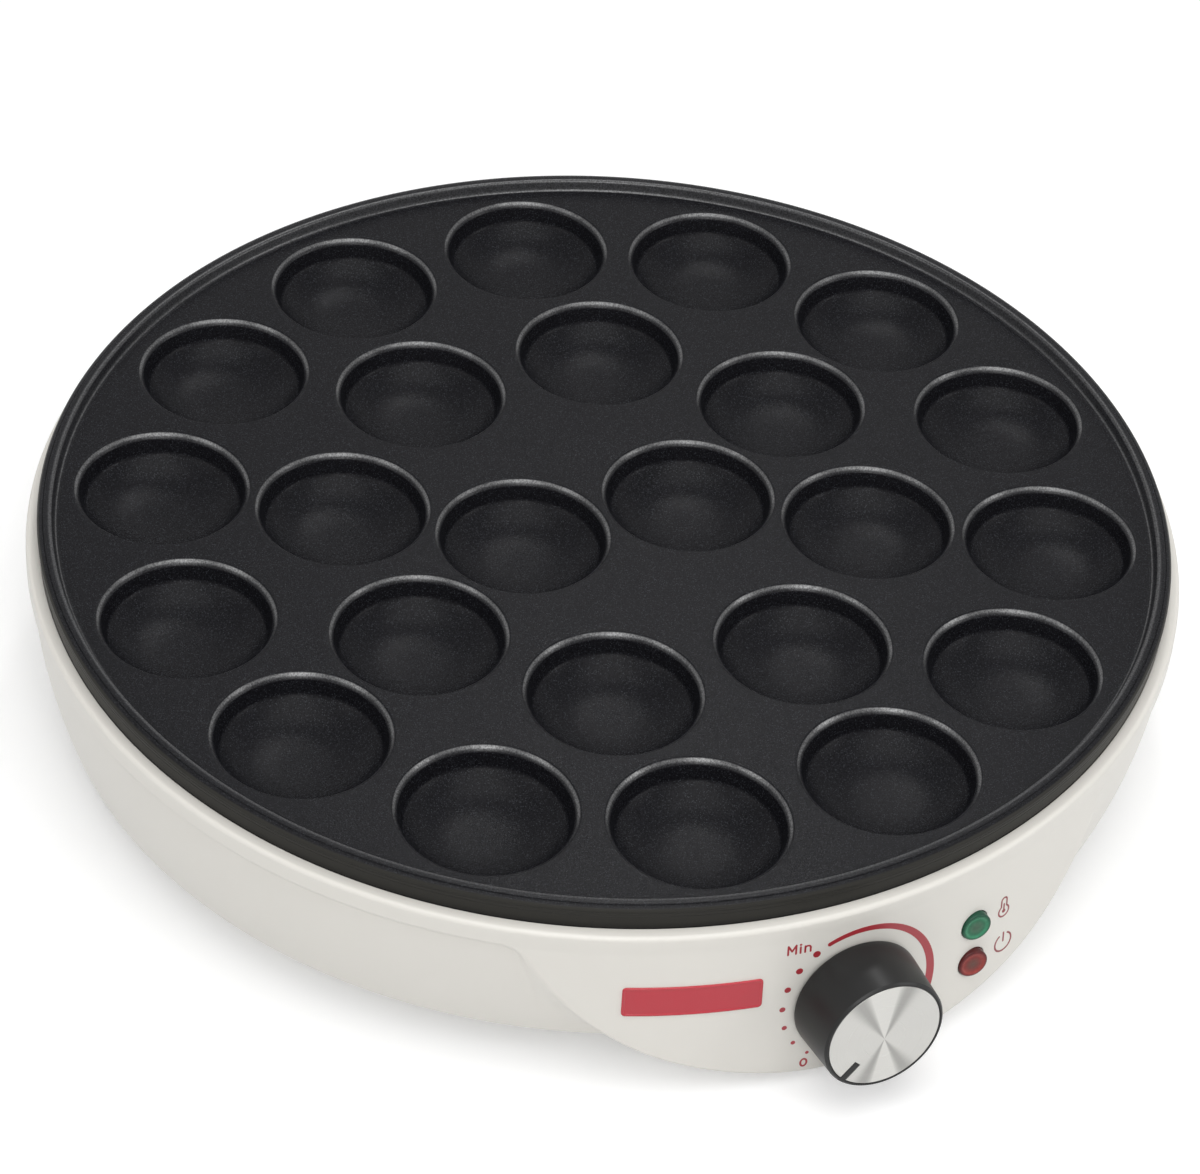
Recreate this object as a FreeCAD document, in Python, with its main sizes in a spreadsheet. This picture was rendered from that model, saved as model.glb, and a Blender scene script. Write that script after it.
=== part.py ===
"""Mini pancake maker: a round cast plate with 24 wells on a moulded base with a knob at the front.

Frame: origin on the table under the plate's axis, +Z up, the knob faces -Y. Millimetres.
"""
import FreeCAD
import Part
import Sketcher
import math
import os
import re

SIZES = [
    ("plate_radius", 150.0, "outer radius of the cooking plate"),
    ("cook_height", 57.0, "height of the cooking surface above the table"),
    ("plate_web", 3.4, "thickness of the plate between the wells"),
    ("rim_height", 3.0, "height of the raised rim above the cooking surface"),
    ("rim_width", 3.4, "radial width of the raised rim"),
    ("rim_ledge", 0.8, "drop from the rim's flat top to its outer edge"),
    ("rim_slope", 1.0, "radial run of the rim's inner slope"),
    ("skirt_depth", 7.8, "depth of the plate's skirt below the cooking surface"),
    ("skirt_wall", 2.6, "thickness of the plate's skirt"),
    ("skirt_draft", 1.3, "how much the skirt narrows towards its foot"),
    ("well_radius", 23.3, "mouth radius of a well"),
    ("well_depth", 11.0, "depth of a well"),
    ("well_edge", 1.4, "width of the bevel round a well's mouth"),
    ("well_shoulder_inset", 2.7, "distance of a well's shoulder inside its mouth"),
    ("well_shoulder_rise", 5.2, "height of a well's shoulder above its floor"),
    ("well_floor_inset", 10.8, "distance of a well's flat floor inside its mouth"),
    ("well_metal", 2.3, "metal around and under a well"),
    ("well_land", 6.0, "least land between neighbours in a ring of wells"),
    ("outer_inset", 32.1, "distance of the outer ring of wells inside the plate's edge"),
    ("inner_ring", 69.8, "radius of the inner ring of wells"),
    ("centre_land", 1.5, "land between the two centre wells"),
    ("post_inset", 14.0, "distance of the four plate posts inside the plate's edge"),
    ("plate_boss_radius", 5.5, "radius of a boss under the plate"),
    ("plate_boss_drop", 7.6, "length of a boss under the plate's web"),
    ("bush_collar", 3.5, "length of a ceramic bush's collar under the shield"),
    ("bush_wall", 1.2, "wall thickness of a ceramic bush"),
    ("bush_flange", 1.2, "reach of a ceramic bush's collar beyond its wall"),
    ("element_section", 7.0, "side of the elements' square section"),
    ("outer_element_gap", 9.0, "half angle between the ends of the outer element, degrees"),
    ("inner_element_gap", 14.0, "half angle between the ends of the inner element, degrees"),
    ("pin_radius", 3.2, "radius of an element's cold pin"),
    ("pin_length", 15.0, "length of a cold pin below its element"),
    ("saddle_height", 3.1, "height of a saddle under an element"),
    ("saddle_steel", 0.8, "thickness of a saddle's sheet"),
    ("shield_steel", 0.8, "thickness of the heat shield"),
    ("shield_gap", 1.0, "gap between the shield's side wall and the housing's ledge"),
    ("spacer_height", 5.5, "height of the spacers between plate and shield"),
    ("skirt_clearance", 1.1, "gap between the plate's skirt and the heat shield's flange"),
    ("band_overhang", 3.0, "reach of the housing's rim band beyond the plate"),
    ("housing_wall", 2.6, "wall thickness of the housing"),
    ("plate_gap", 0.7, "gap between the plate's skirt and the housing's lip"),
    ("lip_drop", 4.2, "top of the lip below the cooking surface"),
    ("lip_round", 3.0, "size of the lip's outer rounding"),
    ("band_drop", 9.8, "lower edge of the rim band below the cooking surface"),
    ("band_step", 1.2, "step from the rim band in to the recessed wall"),
    ("foot_set_in", 3.7, "distance of the recessed wall's foot inside the plate's edge"),
    ("wall_foot_height", 12.7, "height of the recessed wall's foot"),
    ("wall_bow_radius", 110.0, "radius of the recessed wall's bowed profile"),
    ("ledge_width", 4.6, "width of the inner ledge"),
    ("apron_lean", 4.2, "lean of the apron's face from the vertical, degrees"),
    ("apron_foot", 2.0, "height of the apron's lowest point"),
    ("apron_belly_radius", 118.0, "radius of the apron's lower edge"),
    ("apron_belly_angle", 21.9, "half angle of the lower edge's arc, degrees"),
    ("apron_side_angle", 60.0, "steepest angle of the apron's rising edge, degrees"),
    ("apron_straight", 8.5, "height of the straight stretch under the apron's top corners"),
    ("apron_corner_radius", 6.0, "radius where the apron's edge runs into the band"),
    ("dial_drop", 31.9, "knob's axis at the apron's face, below the cooking surface"),
    ("shaft_radius", 3.0, "radius of the thermostat's shaft"),
    ("shaft_play", 0.05, "radial clearance round the shaft"),
    ("shaft_flat", 2.1, "distance of the shaft's flat from its axis"),
    ("collar_radius", 5.0, "radius of the thermostat's threaded collar"),
    ("knob_foot_radius", 16.9, "radius of the knob at the panel"),
    ("knob_face_radius", 16.1, "radius of the knob at its face"),
    ("knob_gap", 0.5, "gap between the knob and the apron"),
    ("knob_length", 15.9, "length of the knob"),
    ("knob_wall", 2.0, "wall thickness of the knob"),
    ("knob_rim", 0.7, "width of the black rim round the knob's metal disc"),
    ("knob_web", 3.0, "metal between the knob's bore and its disc"),
    ("disc_steel", 0.8, "thickness of the knob's metal disc"),
    ("disc_gap", 0.1, "gap round the knob's metal disc"),
    ("pointer_width", 1.3, "width of the pointer rib"),
    ("pointer_start", 9.8, "distance of the pointer's inner end from the knob's axis"),
    ("pointer_angle", 224.5, "direction of the pointer at rest, degrees"),
    ("spring_steel", 0.35, "thickness of the spring in the knob's bore"),
    ("spring_room", 0.5, "gap that the spring fills beside the shaft's flat"),
    ("lamp_side", 35.0, "distance of the lamps to the right of the knob's axis"),
    ("lamp_rise", 1.6, "middle of the two lamps above the middle of the apron's face"),
    ("lamp_spacing", 12.1, "distance from the upper lamp down to the lower one"),
    ("lens_radius", 4.0, "radius of a lens"),
    ("lens_proud", 1.4, "height of a lens's face above the apron at its axis"),
    ("lens_wall", 1.0, "wall thickness of a lens"),
    ("lens_flange", 1.1, "reach of a lens's inner flange beyond its barrel"),
    ("lens_flange_length", 0.8, "thickness of a lens's inner flange"),
    ("lamp_hole_gap", 0.2, "gap between a lens and its hole"),
    ("lamp_sleeve", 6.5, "length of a lens's sleeve behind the apron's face"),
    ("sleeve_wall", 1.0, "wall thickness of a lens's sleeve"),
    ("retainer_steel", 0.5, "thickness of the sheet cup that holds a lamp"),
    ("retainer_length", 2.6, "length of that cup along its sleeve"),
    ("lamp_cap", 3.5, "length of a lamp's ceramic cap"),
    ("bracket_set_back", 6.0, "distance of the thermostat's bracket behind the apron's face"),
    ("bracket_steel", 1.2, "thickness of the thermostat's bracket"),
    ("bracket_reach", 17.5, "distance of the bracket's screws from the knob's axis"),
    ("bracket_width", 16.0, "height of the thermostat's bracket"),
    ("bracket_edge", 4.4, "metal around the middle of the bracket's screws"),
    ("thermostat_width", 26.0, "width of the thermostat's body"),
    ("thermostat_height", 20.0, "height of the thermostat's body"),
    ("thermostat_top", 8.2, "top of the thermostat's body above the knob's axis"),
    ("thermostat_depth", 20.0, "depth of the thermostat's body"),
    ("diaphragm_depth", 3.0, "depth of the diaphragm on the thermostat's back"),
    ("cover_wall", 2.5, "thickness of the bottom cover"),
    ("cover_floor_height", 5.0, "height of the underside of the cover's floor"),
    ("cover_gap", 0.4, "gap between the cover and the housing"),
    ("cover_flange", 15.3, "width of the cover's flange"),
    ("cover_slope", 8.0, "radial run of the slope between the cover's flange and floor"),
    ("tray_lift", 1.2, "rise of the cover's front tray above the apron's lower edge"),
    ("pillar_radius", 5.5, "radius of a pillar on the cover"),
    ("screw_radius", 2.0, "radius of a plate screw"),
    ("screw_play", 0.3, "radial clearance of the screws in their through holes"),
    ("screw_bite", 5.5, "length of a plate screw inside the plate's boss"),
    ("screw_head_radius", 3.6, "radius of a plate screw's head"),
    ("screw_head", 2.6, "height of a plate screw's head"),
    ("small_screw_radius", 1.5, "radius of a small screw"),
    ("small_head_radius", 2.9, "radius of a small screw's head"),
    ("small_head", 1.8, "height of a small screw's head"),
    ("thread_gap", 0.1, "gap between a screw and the hole it is driven into"),
    ("cover_screw_inset", 4.5, "distance of the cover's screws inside the housing's wall"),
    ("cover_boss_radius", 3.9, "radius of a housing boss"),
    ("cover_boss_length", 11.0, "length of a housing boss"),
    ("foot_inset", 15.0, "distance of the rubber feet inside the edge of the cover's floor"),
    ("foot_radius", 10.0, "radius of a rubber foot"),
    ("foot_stem_radius", 3.8, "radius of a rubber foot's stem"),
    ("foot_head_radius", 5.2, "radius of the head that holds a rubber foot"),
    ("vent_count", 12, "vent slots in the cover"),
    ("vent_ring", 72.0, "radius of the middle of the vent slots"),
    ("vent_length", 26.0, "length of a vent slot"),
    ("vent_width", 4.0, "width of a vent slot"),
    ("inlet_width", 24.6, "width of the cord inlet's socket"),
    ("inlet_height", 15.6, "height of the cord inlet's socket"),
    ("inlet_depth", 17.0, "depth of the cord inlet's socket"),
    ("inlet_wall", 1.2, "wall of the cord inlet"),
    ("inlet_lip", 4.0, "width of the cord inlet's flange"),
    ("inlet_flange", 2.0, "thickness of the cord inlet's flange"),
    ("inlet_pad", 2.0, "reach of the inlet's flat pad beyond the plate's edge"),
    ("bulb_radius", 3.0, "radius of the sensing bulb"),
    ("bulb_length", 54.0, "length of the sensing bulb"),
    ("bulb_offset", 32.3, "distance of the bulb and the fuse from the plate's centre"),
    ("fuse_radius", 2.2, "radius of the thermal fuse"),
    ("fuse_length", 14.0, "length of the thermal fuse's case"),
    ("clip_ear", 4.4, "distance of a clip's rivets beyond the bulb's side"),
    ("clip_sheet", 0.8, "thickness of the clips under the plate"),
    ("rivet_radius", 1.2, "radius of the clips' rivets"),
    ("capillary_radius", 0.9, "radius of the capillary tube"),
    ("capillary_bend", 4.0, "bend radius of the capillary tube"),
    ("capillary_run", 20.0, "forward run of the capillary tube before it crosses to the thermostat"),
    ("terminal_width", 34.0, "width of the terminal block"),
    ("terminal_depth", 18.0, "depth of the terminal block"),
    ("terminal_height", 12.0, "height of the terminal block"),
    ("terminal_pitch", 11.0, "distance between the terminals"),
    ("terminal_inset", 24.0, "distance of the terminal block inside the edge of the cover's floor"),
    ("terminal_screw_radius", 2.2, "radius of a terminal's screw"),
]
ALIASES = {alias for alias, value, meaning in SIZES}

doc = FreeCAD.newDocument("MiniPancakeMaker")
sheet = doc.addObject("Spreadsheet::Sheet", "Sizes")
for row, (alias, value, meaning) in enumerate(SIZES, start=1):
    sheet.set(f"A{row}", meaning)
    sheet.set(f"B{row}", str(value))
    sheet.setAlias(f"B{row}", alias)
doc.recompute()


# Helpers that bind geometry to the sheet

def bound(text):
    """The same formula with each alias written as a reference to the sheet."""
    def reference(found):
        word = found.group(0)
        return f"Sizes.{word}" if word in ALIASES else word
    return re.sub(r"[a-z]\w*", reference, str(text))


def number(text):
    """The value of a formula of aliases, as a plain number."""
    answer = sheet.evalExpression(bound(text))
    return float(getattr(answer, "Value", answer))


def bind(item, **formulas):
    """Bind properties such as Length or Radius1 to formulas of aliases."""
    for name, text in formulas.items():
        item.setExpression(name, bound(text))
    return item


def vector(x, y, z):
    return FreeCAD.Vector(number(x), number(y), number(z))


def turned(x=0, y=0, z=0, axis=(0, 0, 1), angle=0):
    """A placement at x, y, z (formulas), turned about one axis by an angle (formula, degrees)."""
    rotation = FreeCAD.Rotation(FreeCAD.Vector(*axis), number(angle))
    return FreeCAD.Placement(vector(x, y, z), rotation)


def panel_place(height, right="0"):
    """Placement on the apron's leaning face, at a height and a distance to the right of its middle.

    Every piece on the face has the knob's direction: local +Z points forward, out of the face.
    """
    reach = number(f"{HOUSING_RADIUS} + ({BAND_FOOT} - {height}) * tan(apron_lean)")
    side = number(right)
    base = FreeCAD.Vector(side, -math.sqrt(reach ** 2 - side ** 2), number(height))
    return FreeCAD.Placement(base, FreeCAD.Rotation(FreeCAD.Vector(1, 0, 0), 90 - number("apron_lean")))


# Helpers that draw sketches

def arc_between(start, end, bend):
    """Arc from start to end with radius |bend|: its centre is on the left for a positive bend."""
    chord = end - start
    middle = (start + end) * 0.5
    left = FreeCAD.Vector(-chord.y, chord.x, 0).normalize()
    reach = math.sqrt(max(bend * bend - chord.Length ** 2 / 4, 0))
    centre = middle + left * (reach if bend > 0 else -reach)
    first, last = (start, end) if bend > 0 else (end, start)
    angle_1 = math.atan2(first.y - centre.y, first.x - centre.x)
    angle_2 = math.atan2(last.y - centre.y, last.x - centre.x)
    while angle_2 < angle_1:
        angle_2 += 2 * math.pi
    circle = Part.Circle(centre, FreeCAD.Vector(0, 0, 1), abs(bend))
    return Part.ArcOfCircle(circle, angle_1, angle_2)


def tie(sketch, word, name, where, text):
    """One driving constraint, bound to a formula."""
    index = sketch.addConstraint(Sketcher.Constraint(word, *where, number(text)))
    sketch.renameConstraint(index, name)
    sketch.setExpression(f"Constraints.{name}", bound(text))


def outline(sketch, path):
    """Closed outline. Each entry is (x, y) or (x, y, bend): the bend makes the next edge an arc."""
    corners = [FreeCAD.Vector(number(entry[0]), number(entry[1]), 0) for entry in path]
    first = sketch.GeometryCount
    ends = []
    for index, entry in enumerate(path):
        start = corners[index]
        end = corners[(index + 1) % len(path)]
        if len(entry) == 3:
            bend = number(entry[2])
            sketch.addGeometry(arc_between(start, end, bend))
            ends.append((1, 2) if bend > 0 else (2, 1))
        else:
            sketch.addGeometry(Part.LineSegment(start, end))
            ends.append((1, 2))
    count = len(path)
    for index in range(count):
        follow = (index + 1) % count
        pair = (first + index, ends[index][1], first + follow, ends[follow][0])
        sketch.addConstraint(Sketcher.Constraint("Coincident", *pair))
    for index, entry in enumerate(path):
        where = (-1, 1, first + index, ends[index][0])
        tie(sketch, "DistanceX", f"x{first + index}", where, entry[0])
        tie(sketch, "DistanceY", f"y{first + index}", where, entry[1])
        if len(entry) == 3:
            tie(sketch, "Radius", f"bend{first + index}", (first + index,), f"abs({entry[2]})")


def ring(sketch, x, y, radius):
    """A full circle at x, y."""
    index = sketch.addGeometry(Part.Circle(vector(x, y, 0), FreeCAD.Vector(0, 0, 1), number(radius)))
    tie(sketch, "DistanceX", f"x{index}", (-1, 1, index, 3), x)
    tie(sketch, "DistanceY", f"y{index}", (-1, 1, index, 3), y)
    tie(sketch, "Radius", f"radius{index}", (index,), radius)


def upright_axis(sketch, x):
    """A construction line at x, used as the axis of a revolved feature."""
    foot = vector(x, 0, 0)
    length = number("cook_height")
    index = sketch.addGeometry(Part.LineSegment(foot, foot + FreeCAD.Vector(0, length, 0)), True)
    tie(sketch, "DistanceX", f"axis_x{index}", (-1, 1, index, 1), x)
    sketch.addConstraint(Sketcher.Constraint("Vertical", index))
    sketch.addConstraint(Sketcher.Constraint("DistanceY", -1, 1, index, 1, 0.0))
    sketch.addConstraint(Sketcher.Constraint("Distance", index, length))


# Helpers for PartDesign bodies

def new_body(label):
    body = doc.addObject("PartDesign::Body", label)
    body.Label = label
    return body


def body_sketch(body, name, role, lift="0", turn=0):
    """A sketch on one of the body's own planes, lifted along its normal or turned about Z."""
    plane = [item for item in body.Origin.OriginFeatures if item.Role == role][0]
    sketch = body.newObject("Sketcher::SketchObject", name)
    sketch.AttachmentSupport = [(plane, "")]
    sketch.MapMode = "FlatFace"
    if role == "XZ_Plane":
        swing = FreeCAD.Rotation(FreeCAD.Vector(0, 1, 0), number(turn))
        sketch.AttachmentOffset = FreeCAD.Placement(FreeCAD.Vector(), swing)
    else:
        sketch.setExpression("AttachmentOffset.Base.z", bound(lift))
    return sketch


def body_revolve(body, name, sketch, cut=False, axis="V_Axis"):
    kind = "PartDesign::Groove" if cut else "PartDesign::Revolution"
    feature = body.newObject(kind, name)
    feature.Profile = sketch
    feature.ReferenceAxis = (sketch, [axis])
    feature.Angle = 360
    return feature


def body_pad(body, name, sketch, length, reverse=False):
    feature = body.newObject("PartDesign::Pad", name)
    feature.Profile = sketch
    bind(feature, Length=length)
    feature.Reversed = reverse
    return feature


def body_pocket(body, name, sketch, length, reverse=False):
    """Cut a sketch downwards, or upwards when reversed, and check that it removed something."""
    doc.recompute()
    before = body.Shape.Volume
    feature = body.newObject("PartDesign::Pocket", name)
    feature.Profile = sketch
    bind(feature, Length=length)
    feature.Reversed = reverse
    doc.recompute()
    if not body.Shape.Volume < before - 0.01:
        raise RuntimeError(f"{name} cut nothing from {body.Label}")
    return feature


def polar(body, name, feature, count):
    pattern = body.newObject("PartDesign::PolarPattern", name)
    axis = [item for item in body.Origin.OriginFeatures if item.Role == "Z_Axis"][0]
    pattern.Originals = [feature]
    pattern.Axis = (axis, [""])
    pattern.Angle = 360
    bind(pattern, Occurrences=count)
    body.Tip = pattern
    return pattern


# Helpers for Part solids

def part_sketch(name, path, plane="XZ"):
    """A free sketch in the XZ or the XY plane."""
    sketch = doc.addObject("Sketcher::SketchObject", name)
    if plane == "XZ":
        sketch.Placement = turned(axis=(1, 0, 0), angle=90)
    outline(sketch, path)
    return sketch


def part_revolve(name, path, angle="360"):
    """A profile in the XZ plane turned about Z."""
    feature = doc.addObject("Part::Revolution", name)
    feature.Source = part_sketch(f"{name}_profile", path)
    feature.Axis = FreeCAD.Vector(0, 0, 1)
    feature.Base = FreeCAD.Vector(0, 0, 0)
    feature.Solid = True
    bind(feature, Angle=angle)
    return feature


def part_extrude(name, path, near, far):
    """A front-view outline run forward, from y = near to y = far."""
    feature = doc.addObject("Part::Extrusion", name)
    feature.Base = part_sketch(f"{name}_profile", path)
    feature.DirMode = "Custom"
    feature.Dir = FreeCAD.Vector(0, -1, 0)
    feature.Solid = True
    bind(feature, LengthFwd=f"-({far})", LengthRev=near)
    return feature


def cylinder(name, radius, height, place=None):
    feature = doc.addObject("Part::Cylinder", name)
    bind(feature, Radius=radius, Height=height)
    if place:
        feature.Placement = place
    return feature


def cone(name, radius_low, radius_high, height, place=None):
    feature = doc.addObject("Part::Cone", name)
    bind(feature, Radius1=radius_low, Radius2=radius_high, Height=height)
    if place:
        feature.Placement = place
    return feature


def box(name, length, width, height, place=None):
    """A box centred on its place in X and Y, standing on it in Z."""
    feature = doc.addObject("Part::Box", name)
    bind(feature, Length=length, Width=width, Height=height)
    centre = FreeCAD.Placement(vector(f"-({length}) / 2", f"-({width}) / 2", 0), FreeCAD.Rotation())
    feature.Placement = (place or FreeCAD.Placement()).multiply(centre)
    return feature


def hexagon(name, radius, height, place=None):
    """Hexagonal block round local Z, the radius reaching its corners."""
    feature = doc.addObject("Part::Prism", name)
    feature.Polygon = 6
    bind(feature, Circumradius=radius, Height=height)
    if place:
        feature.Placement = place
    return feature


def fuse(name, items):
    feature = doc.addObject("Part::MultiFuse", name)
    feature.Shapes = items
    return feature


def cut(name, base, tool):
    feature = doc.addObject("Part::Cut", name)
    feature.Base = base
    feature.Tool = tool
    return feature


def common(name, items):
    feature = doc.addObject("Part::MultiCommon", name)
    feature.Shapes = items
    return feature


def group(name, items):
    """Separate solids that share one node."""
    feature = doc.addObject("Part::Compound", name)
    feature.Links = items
    return feature


def finished(feature, label):
    feature.Label = label
    NODES.append(feature)
    return feature


NODES = []

# Heights and radii that several pieces share

WEB_FOOT = "(cook_height - plate_web)"
WELL_FOOT = "(cook_height - well_depth - well_metal)"
SKIRT_FOOT = "(cook_height - skirt_depth)"
ELEMENT_FOOT = f"({WELL_FOOT} - element_section)"
SHIELD_TOP = f"({ELEMENT_FOOT} - saddle_height)"
SHIELD_FOOT = f"({SHIELD_TOP} - shield_steel)"
BOSS_FOOT = f"({WEB_FOOT} - plate_boss_drop)"
SHELF_TOP = f"({BOSS_FOOT} - spacer_height)"
SHELF_FOOT = f"({SHELF_TOP} - shield_steel)"
LIP_TOP = "(cook_height - lip_drop)"
BAND_FOOT = "(cook_height - band_drop)"
LEDGE_TOP = f"({SKIRT_FOOT} - skirt_clearance - shield_steel)"
LEDGE_FOOT = f"({LEDGE_TOP} - housing_wall)"
FLANGE_FOOT = "(wall_foot_height + cover_gap / 2)"
FLANGE_TOP = f"({FLANGE_FOOT} + cover_wall)"
COVER_TOP = "(cover_floor_height + cover_wall)"
INLET_Z = f"(({FLANGE_TOP} + {SHELF_FOOT}) / 2)"
DIAL_Z = "(cook_height - dial_drop)"
LAMPS_Z = f"(({BAND_FOOT} + apron_foot) / 2 + lamp_rise)"
LAMPS = [("green", f"({LAMPS_Z} + lamp_spacing / 2)"), ("red", f"({LAMPS_Z} - lamp_spacing / 2)")]

HOUSING_RADIUS = "(plate_radius + band_overhang)"
WALL_TOP_RADIUS = f"({HOUSING_RADIUS} - band_step)"
WALL_FOOT_RADIUS = "(plate_radius - foot_set_in)"
LIP_RADIUS = "(plate_radius - skirt_draft + plate_gap)"
LEDGE_RADIUS = f"({LIP_RADIUS} - ledge_width)"
SHIELD_RADIUS = f"({LEDGE_RADIUS} - shield_gap)"
OUTER_RING = "(plate_radius - outer_inset)"
STEP_RADIUS = f"({OUTER_RING} + element_section / 2 + 2.6)"
COVER_RADIUS = f"({WALL_FOOT_RADIUS} - housing_wall - cover_gap)"
FLANGE_RADIUS = f"({COVER_RADIUS} - cover_flange)"
FLOOR_RADIUS = f"({FLANGE_RADIUS} - cover_slope)"
FOOT_RING = f"({FLOOR_RADIUS} - foot_inset)"
COVER_SCREW_RING = f"({WALL_FOOT_RADIUS} - housing_wall - cover_screw_inset)"
INLET_FACE = "(plate_radius + inlet_pad)"
CLIP_REACH = "(bulb_radius + clip_ear)"
EARTH_X = "(inner_ring / 2)"
EARTH_Y = f"(({OUTER_RING} + inner_ring) / 2)"

WELL_PITCH = "(2 * well_radius + well_land)"
OUTER_COUNT = f"floor(2 * pi * {OUTER_RING} / {WELL_PITCH})"
INNER_COUNT = f"floor(2 * pi * inner_ring / {WELL_PITCH})"
WELL_RINGS = [
    ("outer", OUTER_RING, "0", OUTER_COUNT),
    ("inner", "inner_ring", f"180 / {INNER_COUNT}", INNER_COUNT),
    ("centre", "(well_radius + centre_land / 2)", "0", "2"),
]


def on_ring(radius, angle):
    """X and Y of a point at a radius and an angle, as formulas."""
    return f"{radius} * cos({angle})", f"{radius} * sin({angle})"


def post_places():
    """Centres of the four plate posts, each midway between two wells of the outer ring."""
    places = []
    for quarter in range(4):
        well = f"floor({OUTER_COUNT} * {(quarter + 0.5) / 4})"
        places.append(on_ring("(plate_radius - post_inset)", f"({well} + 0.5) * 360 / {OUTER_COUNT}"))
    return places


def pin_places():
    """Centres of the elements' cold pins."""
    places = []
    for radius, gap in ((OUTER_RING, "outer_element_gap"), ("inner_ring", "inner_element_gap")):
        places.append(on_ring(radius, f"90 + {gap} + 2"))
        places.append(on_ring(radius, f"90 - {gap} - 2"))
    return places


def cover_screw_places():
    """Angle and centre of each screw that holds the cover to the housing."""
    return [(angle, *on_ring(COVER_SCREW_RING, angle)) for angle in (0, 68, 112, 180, 232, 308)]


def rivet_places():
    """Centres of the rivets that hold the two clips under the plate."""
    return [("0", f"{side} * bulb_offset + {reach} * {CLIP_REACH}") for side in (-1, 1) for reach in (-1, 1)]


# Cooking plate

def well_outline(ring_radius):
    """Inside of one well, from its axis outwards, with the bevel round its mouth."""
    floor = "cook_height - well_depth"
    mouth = f"{ring_radius} + well_radius"
    return [
        (ring_radius, floor),
        (f"{mouth} - well_floor_inset", floor),
        (f"{mouth} - well_shoulder_inset", f"{floor} + well_shoulder_rise"),
        (f"{mouth} - well_edge", "cook_height - well_edge"),
        (mouth, "cook_height"),
        (mouth, "cook_height + 1"),
        (ring_radius, "cook_height + 1"),
    ]


def bowl_outline(ring_radius):
    """Outside of one well under the plate."""
    side = f"{ring_radius} + well_radius - well_shoulder_inset + well_metal"
    inside_web = "cook_height - plate_web / 2"
    return [
        (ring_radius, WELL_FOOT),
        (f"{ring_radius} + well_radius - well_floor_inset + well_metal / 2", WELL_FOOT),
        (side, "cook_height - well_depth + well_shoulder_rise"),
        (side, inside_web),
        (ring_radius, inside_web),
    ]


def make_cooking_plate():
    body = new_body("cooking_plate")
    blank = body_sketch(body, "plate_profile", "XZ_Plane")
    skirt_inside = "plate_radius - skirt_draft - skirt_wall"
    rim_top = "cook_height + rim_height"
    outline(blank, [
        ("0", WEB_FOOT),
        (skirt_inside, WEB_FOOT),
        (skirt_inside, SKIRT_FOOT),
        ("plate_radius - skirt_draft", SKIRT_FOOT),
        ("plate_radius", f"{rim_top} - 2 * rim_ledge"),
        ("plate_radius", f"{rim_top} - rim_ledge"),
        ("plate_radius - rim_width / 2", rim_top),
        ("plate_radius - rim_width", rim_top),
        ("plate_radius - rim_width - rim_slope", "cook_height"),
        ("0", "cook_height"),
    ])
    body_revolve(body, "plate_blank", blank)
    for name, radius, turn, count in WELL_RINGS:
        sketch = body_sketch(body, f"{name}_bowl_profile", "XZ_Plane", turn=turn)
        outline(sketch, bowl_outline(radius))
        upright_axis(sketch, radius)
        bowl = body_revolve(body, f"{name}_bowl", sketch, axis="Axis0")
        polar(body, f"{name}_bowls", bowl, count)
    bosses = body_sketch(body, "boss_circles", "XY_Plane", BOSS_FOOT)
    for x, y in post_places():
        ring(bosses, x, y, "plate_boss_radius")
    body_pad(body, "bosses", bosses, "plate_boss_drop + plate_web / 2")
    for name, radius, turn, count in WELL_RINGS:
        sketch = body_sketch(body, f"{name}_well_profile", "XZ_Plane", turn=turn)
        outline(sketch, well_outline(radius))
        upright_axis(sketch, radius)
        well = body_revolve(body, f"{name}_well", sketch, cut=True, axis="Axis0")
        polar(body, f"{name}_wells", well, count)
    bores = body_sketch(body, "bore_circles", "XY_Plane", BOSS_FOOT)
    for x, y in post_places():
        ring(bores, x, y, "screw_radius + thread_gap")
    body_pocket(body, "screw_bores", bores, "screw_bite + 0.5", reverse=True)
    pits = body_sketch(body, "rivet_circles", "XY_Plane", WEB_FOOT)
    for x, y in rivet_places():
        ring(pits, x, y, "rivet_radius + thread_gap")
    body_pocket(body, "rivet_bores", pits, "0.6 * plate_web", reverse=True)
    finished(body, "cooking_plate")


# Heating

def make_element(name, radius, gap):
    """Open ring of square section under the wells, with a cold pin and a flat tab at each end."""
    half = "element_section / 2"
    sweep = part_revolve(f"{name}_sweep", [
        (f"{radius} - {half}", ELEMENT_FOOT),
        (f"{radius} + {half}", ELEMENT_FOOT),
        (f"{radius} + {half}", WELL_FOOT),
        (f"{radius} - {half}", WELL_FOOT),
    ], f"360 - 2 * {gap}")
    sweep.Placement = turned(angle=f"90 + {gap}")
    pieces = [sweep]
    foot = f"{ELEMENT_FOOT} - pin_length"
    for side, angle in (("left", f"90 + {gap} + 2"), ("right", f"90 - {gap} - 2")):
        x, y = on_ring(radius, angle)
        pieces.append(cylinder(f"{name}_{side}_pin", "pin_radius", "pin_length + 2", turned(x, y, foot)))
        tab_place = turned(x, y, f"{foot} - 7")
        pieces.append(box(f"{name}_{side}_tab", "0.8", "2 * pin_radius - 0.4", "8", tab_place))
    finished(fuse(name, pieces), name)


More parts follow.
